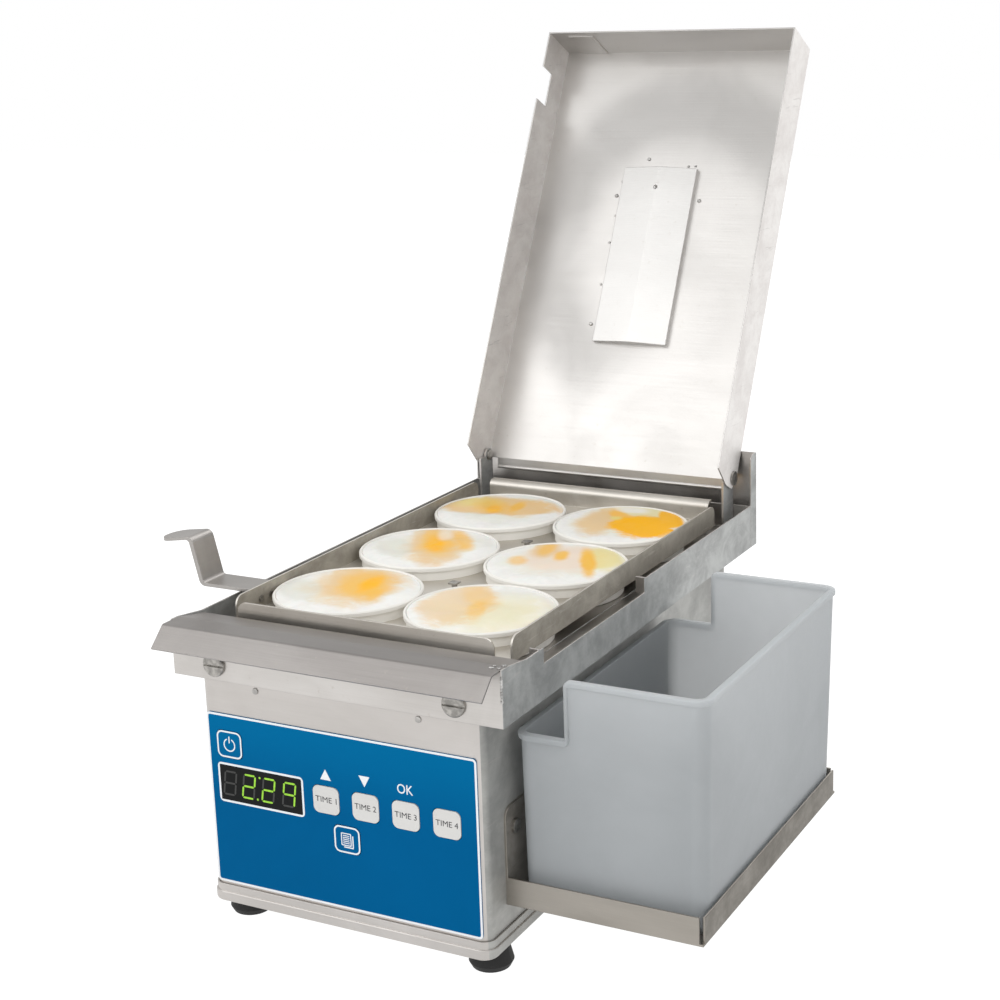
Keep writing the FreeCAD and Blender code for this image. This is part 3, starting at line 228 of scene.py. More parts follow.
def painted_reflection_arc(made, place):
    """A painted darker arc on the lid round the well, standing in for the edge of a lamp's reflection; its
    lower right open.
    """
    centre = on_lid(22, 226, 262)
    reach_x, reach_z = 108 * MM, 112 * MM
    off = made.node("ShaderNodeVectorMath", {"operation": "SUBTRACT"}, {0: place, 1: tuple(centre)})
    x, _, z = made.parts(off)
    u, v = x / reach_x, z / reach_z
    wander = made.noise(made.stretched(off, (9, 9, 9)), 1.0, 3.0, 0.5, 0.4)
    away = (u * u + v * v).sum("SQRT") + (wander - 0.5) * 0.5
    open_side = (u * 0.8 - v).between(0.0, 1.1)
    return (1 - abs(away - 1.05).between(0.05, 0.42)) * (1 - open_side) * 0.6


def small_metal(name, colour, rough):
    """Plated or turned metal with light marks."""
    made = Finish(name, Metallic=1.0)
    place = made.place()
    marks = made.noise(place, 240.0, 4.0)
    cloud = made.noise(place, 45.0, 3.0)
    worn = tuple(0.55 * part for part in colour)
    made.set(
        Base_Color=made.mix(marks.between(0.35, 0.7), worn, colour),
        Roughness=rough + cloud * 0.18,
        Normal=made.bump(marks, 0.15, 0.0002, 0.0003),
    )
    return made.material


def moulded(name, colour, rough, grit=420.0, fade=0.12, depth=0.12, edge=0.0004, rise=None, **shine):
    """Moulded or coated plastic and rubber: fine grain, uneven sheen, slight fading, paler up a rise."""
    made = Finish(name, **shine)
    place = made.place()
    fine = made.noise(place, grit, 3.0)
    cloud = made.noise(place, 11.0, 4.0, 0.55, 0.5)
    darker = tuple(part * (1 - fade) for part in colour)
    paler = tuple(min(1.0, part * (1 + fade * 0.5)) for part in colour)
    shade = made.mix(cloud.between(0.3, 0.7), darker, paler)
    if rise:
        low, high, top = rise
        shade = made.mix(made.parts(place)[2].between(low, high), shade, top)
    made.set(
        Base_Color=shade,
        Roughness=rough + fine * 0.12 + cloud * 0.06,
        Normal=made.bump(fine, depth, 0.0002, edge),
    )
    return made.material


def glowing(name, colour, strength):
    """A lit segment: its glow falls off a little in grainy spots."""
    made = Finish(name, Roughness=0.5, Emission_Strength=strength)
    dots = made.noise(made.place(), 900.0, 2.0)
    dim = tuple(part * 0.75 for part in colour)
    shade = made.mix(dots.between(0.35, 0.65), dim, colour)
    made.set(Base_Color=shade, Emission_Color=shade)
    return made.material


# Meshes


def solid(name, verts, faces, material, body, smooth=False):
    """A mesh piece from corners in the shared frame, riding on a body."""
    mesh = bpy.data.meshes.new(name)
    mesh.from_pydata([tuple(v) for v in verts], [], faces)
    tidy = bmesh.new()
    tidy.from_mesh(mesh)
    bmesh.ops.recalc_face_normals(tidy, faces=tidy.faces)
    tidy.to_mesh(mesh)
    tidy.free()
    mesh.shade_smooth() if smooth else mesh.shade_flat()
    piece = bpy.data.objects.new(name, mesh)
    bpy.context.scene.collection.objects.link(piece)
    mesh.materials.append(material)
    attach(piece, body)
    return piece


def joined(name, shells, material, body, smooth=False):
    """Several closed shells as one piece."""
    verts, faces = [], []
    for shell_verts, shell_faces in shells:
        start = len(verts)
        verts += shell_verts
        faces += [tuple(start + n for n in face) for face in shell_faces]
    return solid(name, verts, faces, material, body, smooth)


def slab(outline, low, high, place=at):
    """An outline of x and z carried from y low to y high, as a shell."""
    count = len(outline)
    verts = [place(x, y, z) for y in (low, high) for x, z in outline]
    faces = [tuple(range(count)), tuple(range(2 * count - 1, count - 1, -1))]
    faces += [(n, (n + 1) % count, count + (n + 1) % count, count + n) for n in range(count)]
    return verts, faces


def band(outer, inner, low, high, place=at):
    """A closed frame between two like outlines, from y low to y high."""
    count = len(outer)
    verts = [place(x, y, z) for y in (low, high) for ring in (outer, inner) for x, z in ring]
    faces = []
    for n in range(count):
        m = (n + 1) % count
        a, b, c, d = n, m, count + m, count + n
        e, f, g, h = (2 * count + k for k in (a, b, c, d))
        faces += [(a, b, c, d), (h, g, f, e), (a, e, f, b), (d, c, g, h)]
    return verts, faces


def rounded(x, z, width, height, radius, steps=6):
    """The outline of a rounded oblong about a middle."""
    points = []
    for quarter, (across, up) in enumerate(((1, 1), (-1, 1), (-1, -1), (1, -1))):
        cx, cz = x + across * (width / 2 - radius), z + up * (height / 2 - radius)
        for step in range(steps + 1):
            turn = (quarter + step / steps) * math.pi / 2
            points.append((cx + radius * math.cos(turn), cz + radius * math.sin(turn)))
    return points


def arc_band(x, z, radius, width, start, end, steps=24):
    """An open curved stroke as an outline."""
    turns = [math.radians(start + (end - start) * n / steps) for n in range(steps + 1)]
    outer = [(x + (radius + width / 2) * math.cos(t), z + (radius + width / 2) * math.sin(t)) for t in turns]
    inner = [(x + (radius - width / 2) * math.cos(t), z + (radius - width / 2) * math.sin(t)) for t in turns]
    return outer + inner[::-1]


def lettering(name, words, x, z, width, height, front, material, body, weight=0.0):
    """Flat printed words of a width and height, centred on a place of the panel."""
    curve = bpy.data.curves.new(name, "FONT")
    curve.body, curve.align_x, curve.align_y = words, "CENTER", "CENTER"
    curve.extrude, curve.offset = 0.03, weight
    curve.resolution_u = 3
    curve.size = height / 0.7
    holder = bpy.data.objects.new(name, curve)
    bpy.context.scene.collection.objects.link(holder)
    mesh = bpy.data.meshes.new_from_object(holder)
    bpy.data.objects.remove(holder)
    reach = [v.co.x for v in mesh.vertices]
    middle, squeeze = (max(reach) + min(reach)) / 2, width / (max(reach) - min(reach))
    verts = [at(x + (v.co.x - middle) * squeeze, front - v.co.z, z + v.co.y) for v in mesh.vertices]
    faces = [tuple(face.vertices) for face in mesh.polygons]
    bpy.data.meshes.remove(mesh)
    return solid(name, verts, faces, material, body)


def blob(centre, radius, squash_by=(1, 1, 1), rough=0.0, seed=0, rings=6, spokes=10):
    """A small lumpy ball as a shell."""
    chance = random.Random(seed)
    verts = [centre + Vector((0, 0, radius * squash_by[2]))]
    for ring in range(1, rings):
        down = math.pi * ring / rings
        for spoke in range(spokes):
            turn = 2 * math.pi * spoke / spokes
            reach = radius * (1 + rough * chance.uniform(-1, 1))
            way = Vector((math.sin(down) * math.cos(turn), math.sin(down) * math.sin(turn), math.cos(down)))
            verts.append(centre + Vector(w * s for w, s in zip(way, squash_by)) * reach)
    verts.append(centre - Vector((0, 0, radius * squash_by[2])))
    faces = [(0, 1 + n, 1 + (n + 1) % spokes) for n in range(spokes)]
    for ring in range(rings - 2):
        a, b = 1 + ring * spokes, 1 + (ring + 1) * spokes
        faces += [(a + n, b + n, b + (n + 1) % spokes, a + (n + 1) % spokes) for n in range(spokes)]
    last, end = 1 + (rings - 2) * spokes, len(verts) - 1
    faces += [(last + n, end, last + (n + 1) % spokes) for n in range(spokes)]
    return verts, faces


def dress(names, material):
    """Gives CAD nodes a material in every slot they have."""
    for name in names:
        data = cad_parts[name].data
        for number in range(max(1, len(data.materials))):
            if number < len(data.materials):
                data.materials[number] = material
            else:
                data.materials.append(material)


# Settings that a user would change


class PanelSettings(bpy.types.PropertyGroup):
    film: bpy.props.FloatVectorProperty(
        name="Film", description="Colour of the panel's film", subtype="COLOR", default=(0.0, 0.108, 0.283)
    )
    print_white: bpy.props.FloatVectorProperty(
        name="Print", description="Colour of the panel's lines", subtype="COLOR", default=(0.86, 0.88, 0.9)
    )
    key_face: bpy.props.FloatVectorProperty(
        name="Key face", description="Colour of the timer keys", subtype="COLOR", default=(0.68, 0.67, 0.65)
    )
    print_depth: bpy.props.FloatProperty(
        name="Print depth", description="How far the print stands out, in millimetres", default=0.06, min=0.02
    )
    shown: bpy.props.StringProperty(
        name="Time shown", description="Four digits or blanks on the display", default=" 229", maxlen=4
    )


class FoodSettings(bpy.types.PropertyGroup):
    white: bpy.props.FloatVectorProperty(
        name="White", description="Colour of the egg white", subtype="COLOR", default=(0.86, 0.855, 0.82)
    )
    yolk: bpy.props.FloatVectorProperty(
        name="Yolk", description="Colour of the yolk", subtype="COLOR", default=(0.96, 0.47, 0.0)
    )
    dome: bpy.props.FloatProperty(
        name="Dome", description="How far the eggs rise over their edge, in millimetres", default=1.3, min=0
    )


class StudioSettings(bpy.types.PropertyGroup):
    key_power: bpy.props.FloatProperty(
        name="Key light", description="Power of the large light on the left", unit="POWER", default=10.5
    )
    fill_power: bpy.props.FloatProperty(
        name="Fill light", description="Power of the front light", unit="POWER", default=7.0
    )
    back_power: bpy.props.FloatProperty(
        name="Back light", description="Power of the light over the back", unit="POWER", default=10.0
    )
    side_power: bpy.props.FloatProperty(
        name="Side light", description="Power of the low light behind on the right", unit="POWER", default=0.9
    )
    sky: bpy.props.FloatProperty(name="Sky", description="Strength of the even light", default=0.8, min=0)
    floor: bpy.props.FloatVectorProperty(
        name="Floor", description="Colour of the floor", subtype="COLOR", default=(0.9, 0.9, 0.9)
    )


class EGGCOOKER_OT_sheet_metal(bpy.types.Operator):
    """Brushed stainless on the sheet-metal parts"""

    bl_idname = "egg_cooker.sheet_metal"
    bl_label = "Sheet metal"

    def execute(self, context):
        # The last pair of tones in each call is the side faces' painted shade; on the lid it is painted
        # light.
        body = satin_steel("stainless_body", (0.63, 0.6, 0.575), (0.48, 0.455, 0.43), 0.27, 0.0,
                           ((0.43, 0.43, 0.415), (0.55, 0.55, 0.53)))
        pan = satin_steel("stainless_pan", (0.68, 0.655, 0.63), (0.46, 0.435, 0.41), 0.24, 0.15,
                          ((0.4, 0.405, 0.4), (0.58, 0.59, 0.58)))
        lip = satin_steel("stainless_lip", (0.4, 0.38, 0.365), (0.25, 0.235, 0.225), 0.3, 0.2)
        shelf = satin_steel("stainless_shelf", (0.43, 0.4, 0.36), (0.26, 0.24, 0.21), 0.28, 0.4,
                            ((0.26, 0.245, 0.22), (0.38, 0.36, 0.33)))
        rack = satin_steel("stainless_rack", (0.76, 0.73, 0.68), (0.5, 0.47, 0.42), 0.34, 0.2,
                           ((0.42, 0.39, 0.34), (0.58, 0.55, 0.49)))
        # The True below turns on the lid's painted reflection arc.
        lid = satin_steel("stainless_lid", (0.62, 0.605, 0.585), (0.52, 0.505, 0.49), 0.3, 0.05,
                          ((0.84, 0.81, 0.79), (0.95, 0.93, 0.91)), True)
        well = satin_steel("stainless_well", (0.66, 0.65, 0.635), (0.56, 0.55, 0.535), 0.22, 0.05)
        handle = satin_steel("stainless_handle", (0.46, 0.44, 0.42), (0.28, 0.265, 0.25), 0.26, 0.1)
        dress(("body_shell", "rear_panel", "base_pan"), body)
        dress(("cook_pan", "rear_stop", "hinge_brackets", "platen"), pan)
        dress(("drip_lip",), lip)
        dress(("bin_shelf",), shelf)
        dress(("rack_tray",), rack)
        dress(("rack_handle",), handle)
        dress(("lid_shell", "lid_front_plate", "lid_handle"), lid)
        dress(("lid_well",), well)
        return {"FINISHED"}


class EGGCOOKER_OT_small_metal(bpy.types.Operator):
    """Plated screws, rivets, pins and the metal parts inside"""

    bl_idname = "egg_cooker.small_metal"
    bl_label = "Small metal"

    def execute(self, context):
        zinc = small_metal("screw_zinc", (0.5, 0.48, 0.45), 0.26)
        dress(("skirt_screws", "shelf_screws", "rear_screws", "foot_screws"), zinc)
        dress(("body_rivets",), small_metal("rivet_steel", (0.72, 0.7, 0.67), 0.3))
        dress(("hinge_pins", "handle_rivets", "ring_clips", "board_standoffs", "element_clamps"), zinc)
        dress(("heat_shield", "temperature_probe"), zinc)
        dress(("heating_elements",), small_metal("element_sheath", (0.3, 0.27, 0.25), 0.4))
        dress(("transformer_core",), small_metal("core_laminations", (0.2, 0.2, 0.21), 0.45))
        return {"FINISHED"}


class EGGCOOKER_OT_plastics(bpy.types.Operator):
    """Bin, rings, feet and the plastic parts inside"""

    bl_idname = "egg_cooker.plastics"
    bl_label = "Plastics"

    def execute(self, context):
        bin_grey = moulded("bin_polyethylene", (0.352, 0.376, 0.392), 0.38, 300.0, 0.08, 0.1, 0.0012,
                           Subsurface_Weight=0.7, Subsurface_Scale=0.04, Subsurface_Radius=(1, 1, 1))
        ring = moulded("ring_coating", (0.9, 0.88, 0.83), 0.35, 260.0, 0.06, 0.2, 0.0005)
        dress(("waste_bin",), bin_grey)
        dress([f"egg_ring_{n}" for n in range(1, 7)], ring)
        dress(("feet",), moulded("foot_rubber", (0.012, 0.012, 0.012), 0.55, 600.0, 0.3))
        black = moulded("black_plastic", (0.02, 0.02, 0.021), 0.38)
        dress(("cord_gland", "power_relay", "key_switches", "overheat_cutout", "display_module"), black)
        dress(("control_board",), moulded("board_laminate", (0.02, 0.12, 0.05), 0.35, 900.0))
        dress(("terminal_block",), moulded("block_nylon", (0.7, 0.68, 0.6), 0.42))
        dress(("transformer_coil",), moulded("coil_tape", (0.6, 0.38, 0.06), 0.3))
        dress(("insulation_blanket",), moulded("mineral_felt", (0.68, 0.66, 0.6), 0.85, 180.0, 0.2, 0.6))
        return {"FINISHED"}


class EGGCOOKER_OT_panel(bpy.types.Operator):
    """Blue film with its white lines, signs and key caps"""

    bl_idname = "egg_cooker.panel"
    bl_label = "Control panel"

    # How much the film pales toward its top, in red, green and blue
    PALER = (1, 1.36, 1.22)
    UP_ARROW = ((-15.2, 126.9), (-6.4, 126.9), (-10.8, 134.9))
    DOWN_ARROW = ((21, 127.2), (25.4, 135.2), (16.6, 135.2))
    # x, z, width and height of the word over the third timer key
    OK_WORD = (53.6, 130.9, 12.6, 6.9)
    KEY_WORD = (17.4, 4.2)
    PEN = 0.95

    def execute(self, context):
        choice = context.scene.egg_cooker_panel
        low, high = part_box("control_overlay")
        film_top = tuple(part * lift for part, lift in zip(choice.film, self.PALER))
        film = moulded("panel_film", tuple(choice.film), 0.4, 700.0, 0.06, 0.05, 0.0002,
                       ((low.z + high.z) / 2, high.z + 0.01, film_top), Specular_IOR_Level=0.02)
        white = moulded("panel_print", tuple(choice.print_white), 0.4, 700.0, 0.03, 0.03, 0.00005)
        cap = moulded("key_film", tuple(choice.key_face), 0.38, 600.0, 0.04, 0.05, 0.0003)
        ink = moulded("key_ink", (0.03, 0.03, 0.035), 0.45, 700.0, 0.1, 0.02, 0.00005)
        dress(("control_overlay", "key_power", "key_menu"), film)
        dress([f"key_time_{n}" for n in range(1, 5)], cap)
        depth = choice.print_depth
        self.lines(self.face_of(low, high), self.face_of(*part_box("display_window")), depth, white)
        for number in range(1, 5):
            key_low, key_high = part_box(f"key_time_{number}")
            x, z, _, _, front = self.face_of(key_low, key_high)
            lettering(f"key_time_{number}_words", f"TIME {number}", x, z, *self.KEY_WORD,
                      front - depth / 2, ink, f"time_{number}_key")
        for name, sign in (("power", self.power_sign), ("menu", self.menu_sign)):
            key_low, key_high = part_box(f"key_{name}")
            x, z, wide, tall, front = self.face_of(key_low, key_high)
            outer = rounded(x, z, wide - 0.2, tall - 0.2, 4.5)
            inner = rounded(x, z, wide - 2.6, tall - 2.6, 3.3)
            shells = [band(outer, inner, front - depth, front), *sign(x, z, front - depth, front)]
            joined(f"key_{name}_sign", shells, white, f"{name}_key")
        return {"FINISHED"}

    def face_of(self, low, high):
        """A box's middle in x and z, width, height and front, in millimetres from the origin."""
        middle = (low + high) / 2 - ORIGIN
        wide, tall = (high.x - low.x) / MM, (high.z - low.z) / MM
        return middle.x / MM, middle.z / MM, wide, tall, (low.y - ORIGIN.y) / MM

    def lines(self, film, pane, depth, white):
        """The border, the frame round the window, the arrows and the word."""
        _, z, wide, tall, face = film
        pane_x, pane_z, pane_wide, pane_tall, _ = pane
        back = face - depth
        outer, inner = rounded(0, z, wide - 0.1, tall - 0.1, 2.95), rounded(0, z, wide - 3.3, tall - 3.3, 1.6)
        round_pane = rounded(pane_x, pane_z, pane_wide + 3.5, pane_tall + 3.5, 3.2)
        at_pane = rounded(pane_x, pane_z, pane_wide + 0.3, pane_tall + 0.3, 1.6)
        printed = [
            band(outer, inner, back, face), band(round_pane, at_pane, back, face),
            slab(self.UP_ARROW, back, face), slab(self.DOWN_ARROW, back, face),
        ]
        joined("panel_lines", printed, white, "housing")
        lettering("panel_ok", "OK", *self.OK_WORD, face - depth / 2, white, "housing", 0.05)

    def power_sign(self, x, z, back, front):
        """An open ring with a stroke in its gap."""
        return [slab(arc_band(x, z - 0.3, 4.6, self.PEN, 115, 425), back, front),
                slab(rounded(x, z + 3.6, self.PEN, 5.2, 0.4), back, front)]

    def menu_sign(self, x, z, back, front):
        """A sheet with lines on it, and the edges of a second sheet behind it."""
        sheet_x, sheet_z = x - 0.7, z + 0.2
        outer, inner = rounded(sheet_x, sheet_z, 8.4, 9.6, 0.8), rounded(sheet_x, sheet_z, 6.9, 8.1, 0.4)
        shells = [band(outer, inner, back, front)]
        shells += [slab(rounded(sheet_x, sheet_z + line, 5.4, 0.62, 0.2, 2), back, front)
                   for line in (-2.8, -1.4, 0, 1.4, 2.8)]
        shells.append(slab(rounded(x + 4.8, z - 0.8, 0.9, 8.8, 0.3, 2), back, front))
        shells.append(slab(rounded(x + 1.2, z - 5.6, 8, 0.9, 0.3, 2), back, front))
        return shells


class EGGCOOKER_OT_display(bpy.types.Operator):
    """Dark window with lit and unlit segments"""

    bl_idname = "egg_cooker.display"
    bl_label = "Display"

    SEGMENTS = {
        " ": "", "0": "abcdef", "1": "bc", "2": "abged", "3": "abcdg", "4": "bcfg",
        "5": "acdfg", "6": "acdefg", "7": "abc", "8": "abcdefg", "9": "abcfg",
    }
    DIGITS = (-26.4, -10.2, 6.6, 24.2)
    DIGIT_WIDTH, DIGIT_HEIGHT, DIGIT_LEAN = 9.6, 17.6, 0.14
    BAR, BAR_GAP = 1.4, 0.35
    DOTS = ((-0.4, 8.4), (-3.2, -8.5))
    DOT = 1.7
    PROUD = 0.05

    def execute(self, context):
        shown = context.scene.egg_cooker_panel.shown
        glass = moulded("display_glass", (0.01, 0.011, 0.011), 0.16, 900.0, 0.3, 0.02, 0.0004,
                        Specular_IOR_Level=0.1)
        lit = glowing("segment_lit", (0.27, 0.56, 0.03), 0.42)
        unlit = moulded("segment_unlit", (0.035, 0.035, 0.033), 0.35, 700.0, 0.3, 0.02, 0.00005)
        dress(("display_window",), glass)
        low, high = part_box("display_window")
        front = (low.y - ORIGIN.y) / MM
        middle = (low + high) / 2 - ORIGIN
        x0, z0 = middle.x / MM, middle.z / MM
        on, off = [], []
        for digit, dx in zip(shown, self.DIGITS):
            for part in "abcdefg":
                shell = slab(self.segment(part, x0 + dx, z0), front - self.PROUD, front)
                (on if part in self.SEGMENTS[digit] else off).append(shell)
        for dx, dz in self.DOTS:
            dot = rounded(x0 + dx, z0 + dz, self.DOT, self.DOT, 0.84)
            on.append(slab(dot, front - self.PROUD, front))
        joined("display_lit", on, lit, "housing")
        joined("display_unlit", off, unlit, "housing")
        return {"FINISHED"}

    def segment(self, part, x, z):
        """One bar of a slanted digit, with pointed ends."""
        half_w, half_h = self.DIGIT_WIDTH / 2, self.DIGIT_HEIGHT / 2
        ends = {
            "a": ((-half_w, half_h), (half_w, half_h)), "g": ((-half_w, 0), (half_w, 0)),
            "d": ((-half_w, -half_h), (half_w, -half_h)), "f": ((-half_w, 0), (-half_w, half_h)),
            "b": ((half_w, 0), (half_w, half_h)), "e": ((-half_w, -half_h), (-half_w, 0)),
            "c": ((half_w, -half_h), (half_w, 0)),
        }[part]
        (ax, az), (bx, bz) = ends
        length = math.hypot(bx - ax, bz - az)
        ux, uz = (bx - ax) / length, (bz - az) / length
        gap, t = self.BAR_GAP, self.BAR / 2
        outline = []
        for along, side in ((gap, 0), (gap + t, t), (length - gap - t, t), (length - gap, 0),
                            (length - gap - t, -t), (gap + t, -t)):
            px, pz = ax + ux * along - uz * side, az + uz * along + ux * side
            outline.append((x + px + self.DIGIT_LEAN * pz, z + pz))
        return outline


class EGGCOOKER_OT_eggs(bpy.types.Operator):
    """Six eggs set in their rings"""

    bl_idname = "egg_cooker.eggs"
    bl_label = "Eggs"

    # Each egg's smears, laid one over the other: tint, middle off the ring's middle, reach along
    # and across, turn in degrees, cover and softness
    SMEARS = (
        (("peach", 0, 12, 42, 29, -62, 0.85, 0.35), ("amber", 6, 12, 30, 17, -65, 0.8, 0.45),
         ("yolk", 10, 16, 17, 6.5, -78, 0.95, 0.5), ("amber", 24, -3, 12, 5, -62, 0.7, 0.5),
         ("clear", -32, -14, 24, 13, -52, 0.5, 0.25)),
        (("butter", 24, -12, 34, 32, 0, 0.35, 0.6), ("peach", -20, 2, 40, 24, -72, 0.62, 0.2),
         ("amber", -12, 20, 22, 11, -50, 0.35, 0.5), ("amber", 1, -9, 20, 6, -66, 0.5, 0.5)),
        (("peach", 2, 5, 46, 21, -60, 0.85, 0.3), ("amber", 3, 7, 26, 12, -62, 0.8, 0.45),
         ("yolk", 2, 6, 18, 6, -62, 0.9, 0.5), ("amber", 17, 24, 26, 6, -52, 0.75, 0.5),
         # Egg 3's milk smear at (-3, 30) is a painted highlight.
         ("amber", -16, 30, 14, 5, -62, 0.55, 0.5), ("milk", -3, 30, 12, 5, -60, 0.45, 0.6),
         ("clear", -24, -12, 26, 12, -55, 0.5, 0.25)),
        (("blush", 0, 10, 34, 29, -60, 0.9, 0.3), ("butter", 31, 20, 30, 13, -62, 0.75, 0.4),
         ("amber", 23, 9, 31, 5, -62, 0.95, 0.5), ("peach", -22, 24, 20, 10, -75, 0.8, 0.4),
         ("amber", -22, 27, 13, 5, -80, 0.65, 0.5), ("amber", -3, 16, 12, 5, -72, 0.9, 0.5),
         ("amber", -29, -7, 10, 6, -60, 0.6, 0.5)),
        (("peach", -6, 9, 50, 24, 3, 0.95, 0.22), ("butter", -30, 13, 20, 13, 0, 0.7, 0.5),
         ("amber", -10, 5, 22, 13, -35, 0.6, 0.5), ("yolk", -5, -2, 12, 5.5, -63, 0.6, 0.5),
         ("amber", 10, 13, 12, 5, -78, 0.9, 0.5)),
        (("butter", 4, 34, 28, 24, 0, 0.6, 0.4), ("peach", -18, 0, 34, 16, -75, 0.85, 0.35),
         ("yolk", 22, -3, 31, 24, -30, 1.0, 0.16), ("yolk", 34, 26, 28, 8, -60, 1.0, 0.22),
         # Egg 6's butter smear at (-10, 13) is a painted highlight.
         ("yolk", -10, 22, 14, 6, -40, 0.7, 0.4), ("butter", -10, 13, 6, 4, -50, 0.7, 0.5),
         ("milk", -6, 39, 12, 7, 0, 0.8, 0.5)),
    )
    TINTS = {
        "amber": (0.88, 0.49, 0.06), "peach": (0.78, 0.53, 0.25), "butter": (0.78, 0.66, 0.22),
        "blush": (0.82, 0.69, 0.57), "clear": (0.66, 0.66, 0.58), "cream": (0.76, 0.75, 0.62),
    }
    # Cooked white over the whole egg, under its own smears
    FIRST = ("cream", 0, 4, 37, 33, 0, 0.5, 0.22)
    # Radius and height of the egg's side where it stands 0.4 mm inside its ring
    SIDE = ((53.3, 226.2), (51.8, 223.3), (49.2, 214.4), (49.2, 205.4))
    RINGS, SPOKES = 26, 84
    EDGE = 44

    def execute(self, context):
        choice = context.scene.egg_cooker_food
        for number, smears in enumerate(self.SMEARS, start=1):
            low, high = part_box(f"egg_ring_{number}")
            middle = ((low + high) / 2 - ORIGIN) / MM
            self.egg(number, middle.x, middle.y, smears, choice)
        return {"FINISHED"}

    def egg(self, number, x, y, smears, choice):
        chance = random.Random(number * 7)
        waves = [(chance.uniform(0, math.tau), chance.choice((2, 3, 4, 5)), chance.uniform(0.1, 0.26))
                 for _ in range(5)]
        radius, rings, spokes = self.SIDE[0][0], self.RINGS, self.SPOKES
        top = [(0.0, 0.0, self.height(0, 0, smears, waves, choice.dome))]
        rows = []
        for ring in range(1, rings + 1):
            reach = radius * math.sin(math.pi / 2 * ring / rings) if ring < rings else radius
            row = []
            for spoke in range(spokes):
                turn = math.tau * spoke / spokes
                px, py = reach * math.cos(turn), reach * math.sin(turn)
                row.append((px, py, self.height(px, py, smears, waves, choice.dome)))
            rows.append(row)
        for reach, level in self.SIDE:
            rows.append([(px * reach / radius, py * reach / radius, level) for px, py, _ in rows[rings - 1]])
        verts = [at(x + px, y + py, pz) for px, py, pz in top + [p for row in rows for p in row]]
        verts.append(at(x, y, self.SIDE[-1][1]))
        faces = [(0, 1 + n, 1 + (n + 1) % spokes) for n in range(spokes)]
        for ring in range(len(rows) - 1):
            a, b = 1 + ring * spokes, 1 + (ring + 1) * spokes
            faces += [(a + n, b + n, b + (n + 1) % spokes, a + (n + 1) % spokes) for n in range(spokes)]
        last = 1 + (len(rows) - 1) * spokes
        faces += [(last + n, len(verts) - 1, last + (n + 1) % spokes) for n in range(spokes)]
        set_white = self.finish(number, x, y, smears, choice)
        solid(f"egg_{number}", verts, faces, set_white, "housing", True)

    def height(self, px, py, smears, waves, dome):
        """The set white's uneven top, raised a little over the yolk."""
        mx, my, along = smears[0][1:4]
        lift = 0.7 * math.exp(-(math.hypot(px - mx, py - my) / along) ** 2)
        reach = math.hypot(px, py)
        ripple = sum(size * math.sin(count * math.atan2(py, px) + shift + reach * 0.12)
                     for shift, count, size in waves) * min(1, reach / 20)
        edge = max(0.0, (reach - self.EDGE) / (self.SIDE[0][0] - self.EDGE))
        return self.SIDE[0][1] + dome * (1 - edge**2) + lift * (1 - edge) + ripple * (1 - edge)

    def finish(self, number, x, y, smears, choice):
        made = Finish(f"egg_{number}_set", Specular_IOR_Level=0.1, Coat_Weight=0.03, Coat_Roughness=0.2,
                      Subsurface_Weight=0.1, Subsurface_Scale=0.002)
        place, middle = made.place(), tuple(at(x, y, 226))
        off = made.node("ShaderNodeVectorMath", {"operation": "SUBTRACT"}, {0: place, 1: middle})
        swirl = made.noise(made.stretched(off, (36, 40, 36)), 1.0, 3.0, 0.5, 0.8)
        fleck = made.noise(made.stretched(off, (170, 260, 170)), 1.0, 3.0, 0.6, 0.8)
        drift = made.noise(made.stretched(off, (52, 52, 52)), 1.0 + 0.13 * number, 4.0, 0.6, 0.9)
        px, py, _ = made.parts(off)
        white = tuple(choice.white)
        tints = {"yolk": tuple(choice.yolk), "milk": white, **self.TINTS}
        shade = made.mix(drift.between(0.3, 0.75), tuple(0.93 * part for part in white), white)
        for tint, mx, my, along, across, turn, cover, soft in (self.FIRST, *smears):
            c, s = math.cos(math.radians(turn)), math.sin(math.radians(turn))
            dx, dy = px - mx * MM, py - my * MM
            u = (dx * c + dy * s) / (along * 1.08 * MM)
            v = (dy * c - dx * s) / (across * 1.12 * MM)
            away = (u * u + v * v).sum("SQRT") + (swirl - 0.5) * 0.9 + (fleck - 0.5) * 0.25
            shade = made.mix((1 - away.between(1 - soft, 1 + soft)) * cover, shade, tints[tint])
        made.set(
            Base_Color=shade,
            Roughness=0.3 + drift * 0.2,
            Normal=made.bump(swirl + fleck * 0.4, 0.3, 0.001),
        )
        return made.material


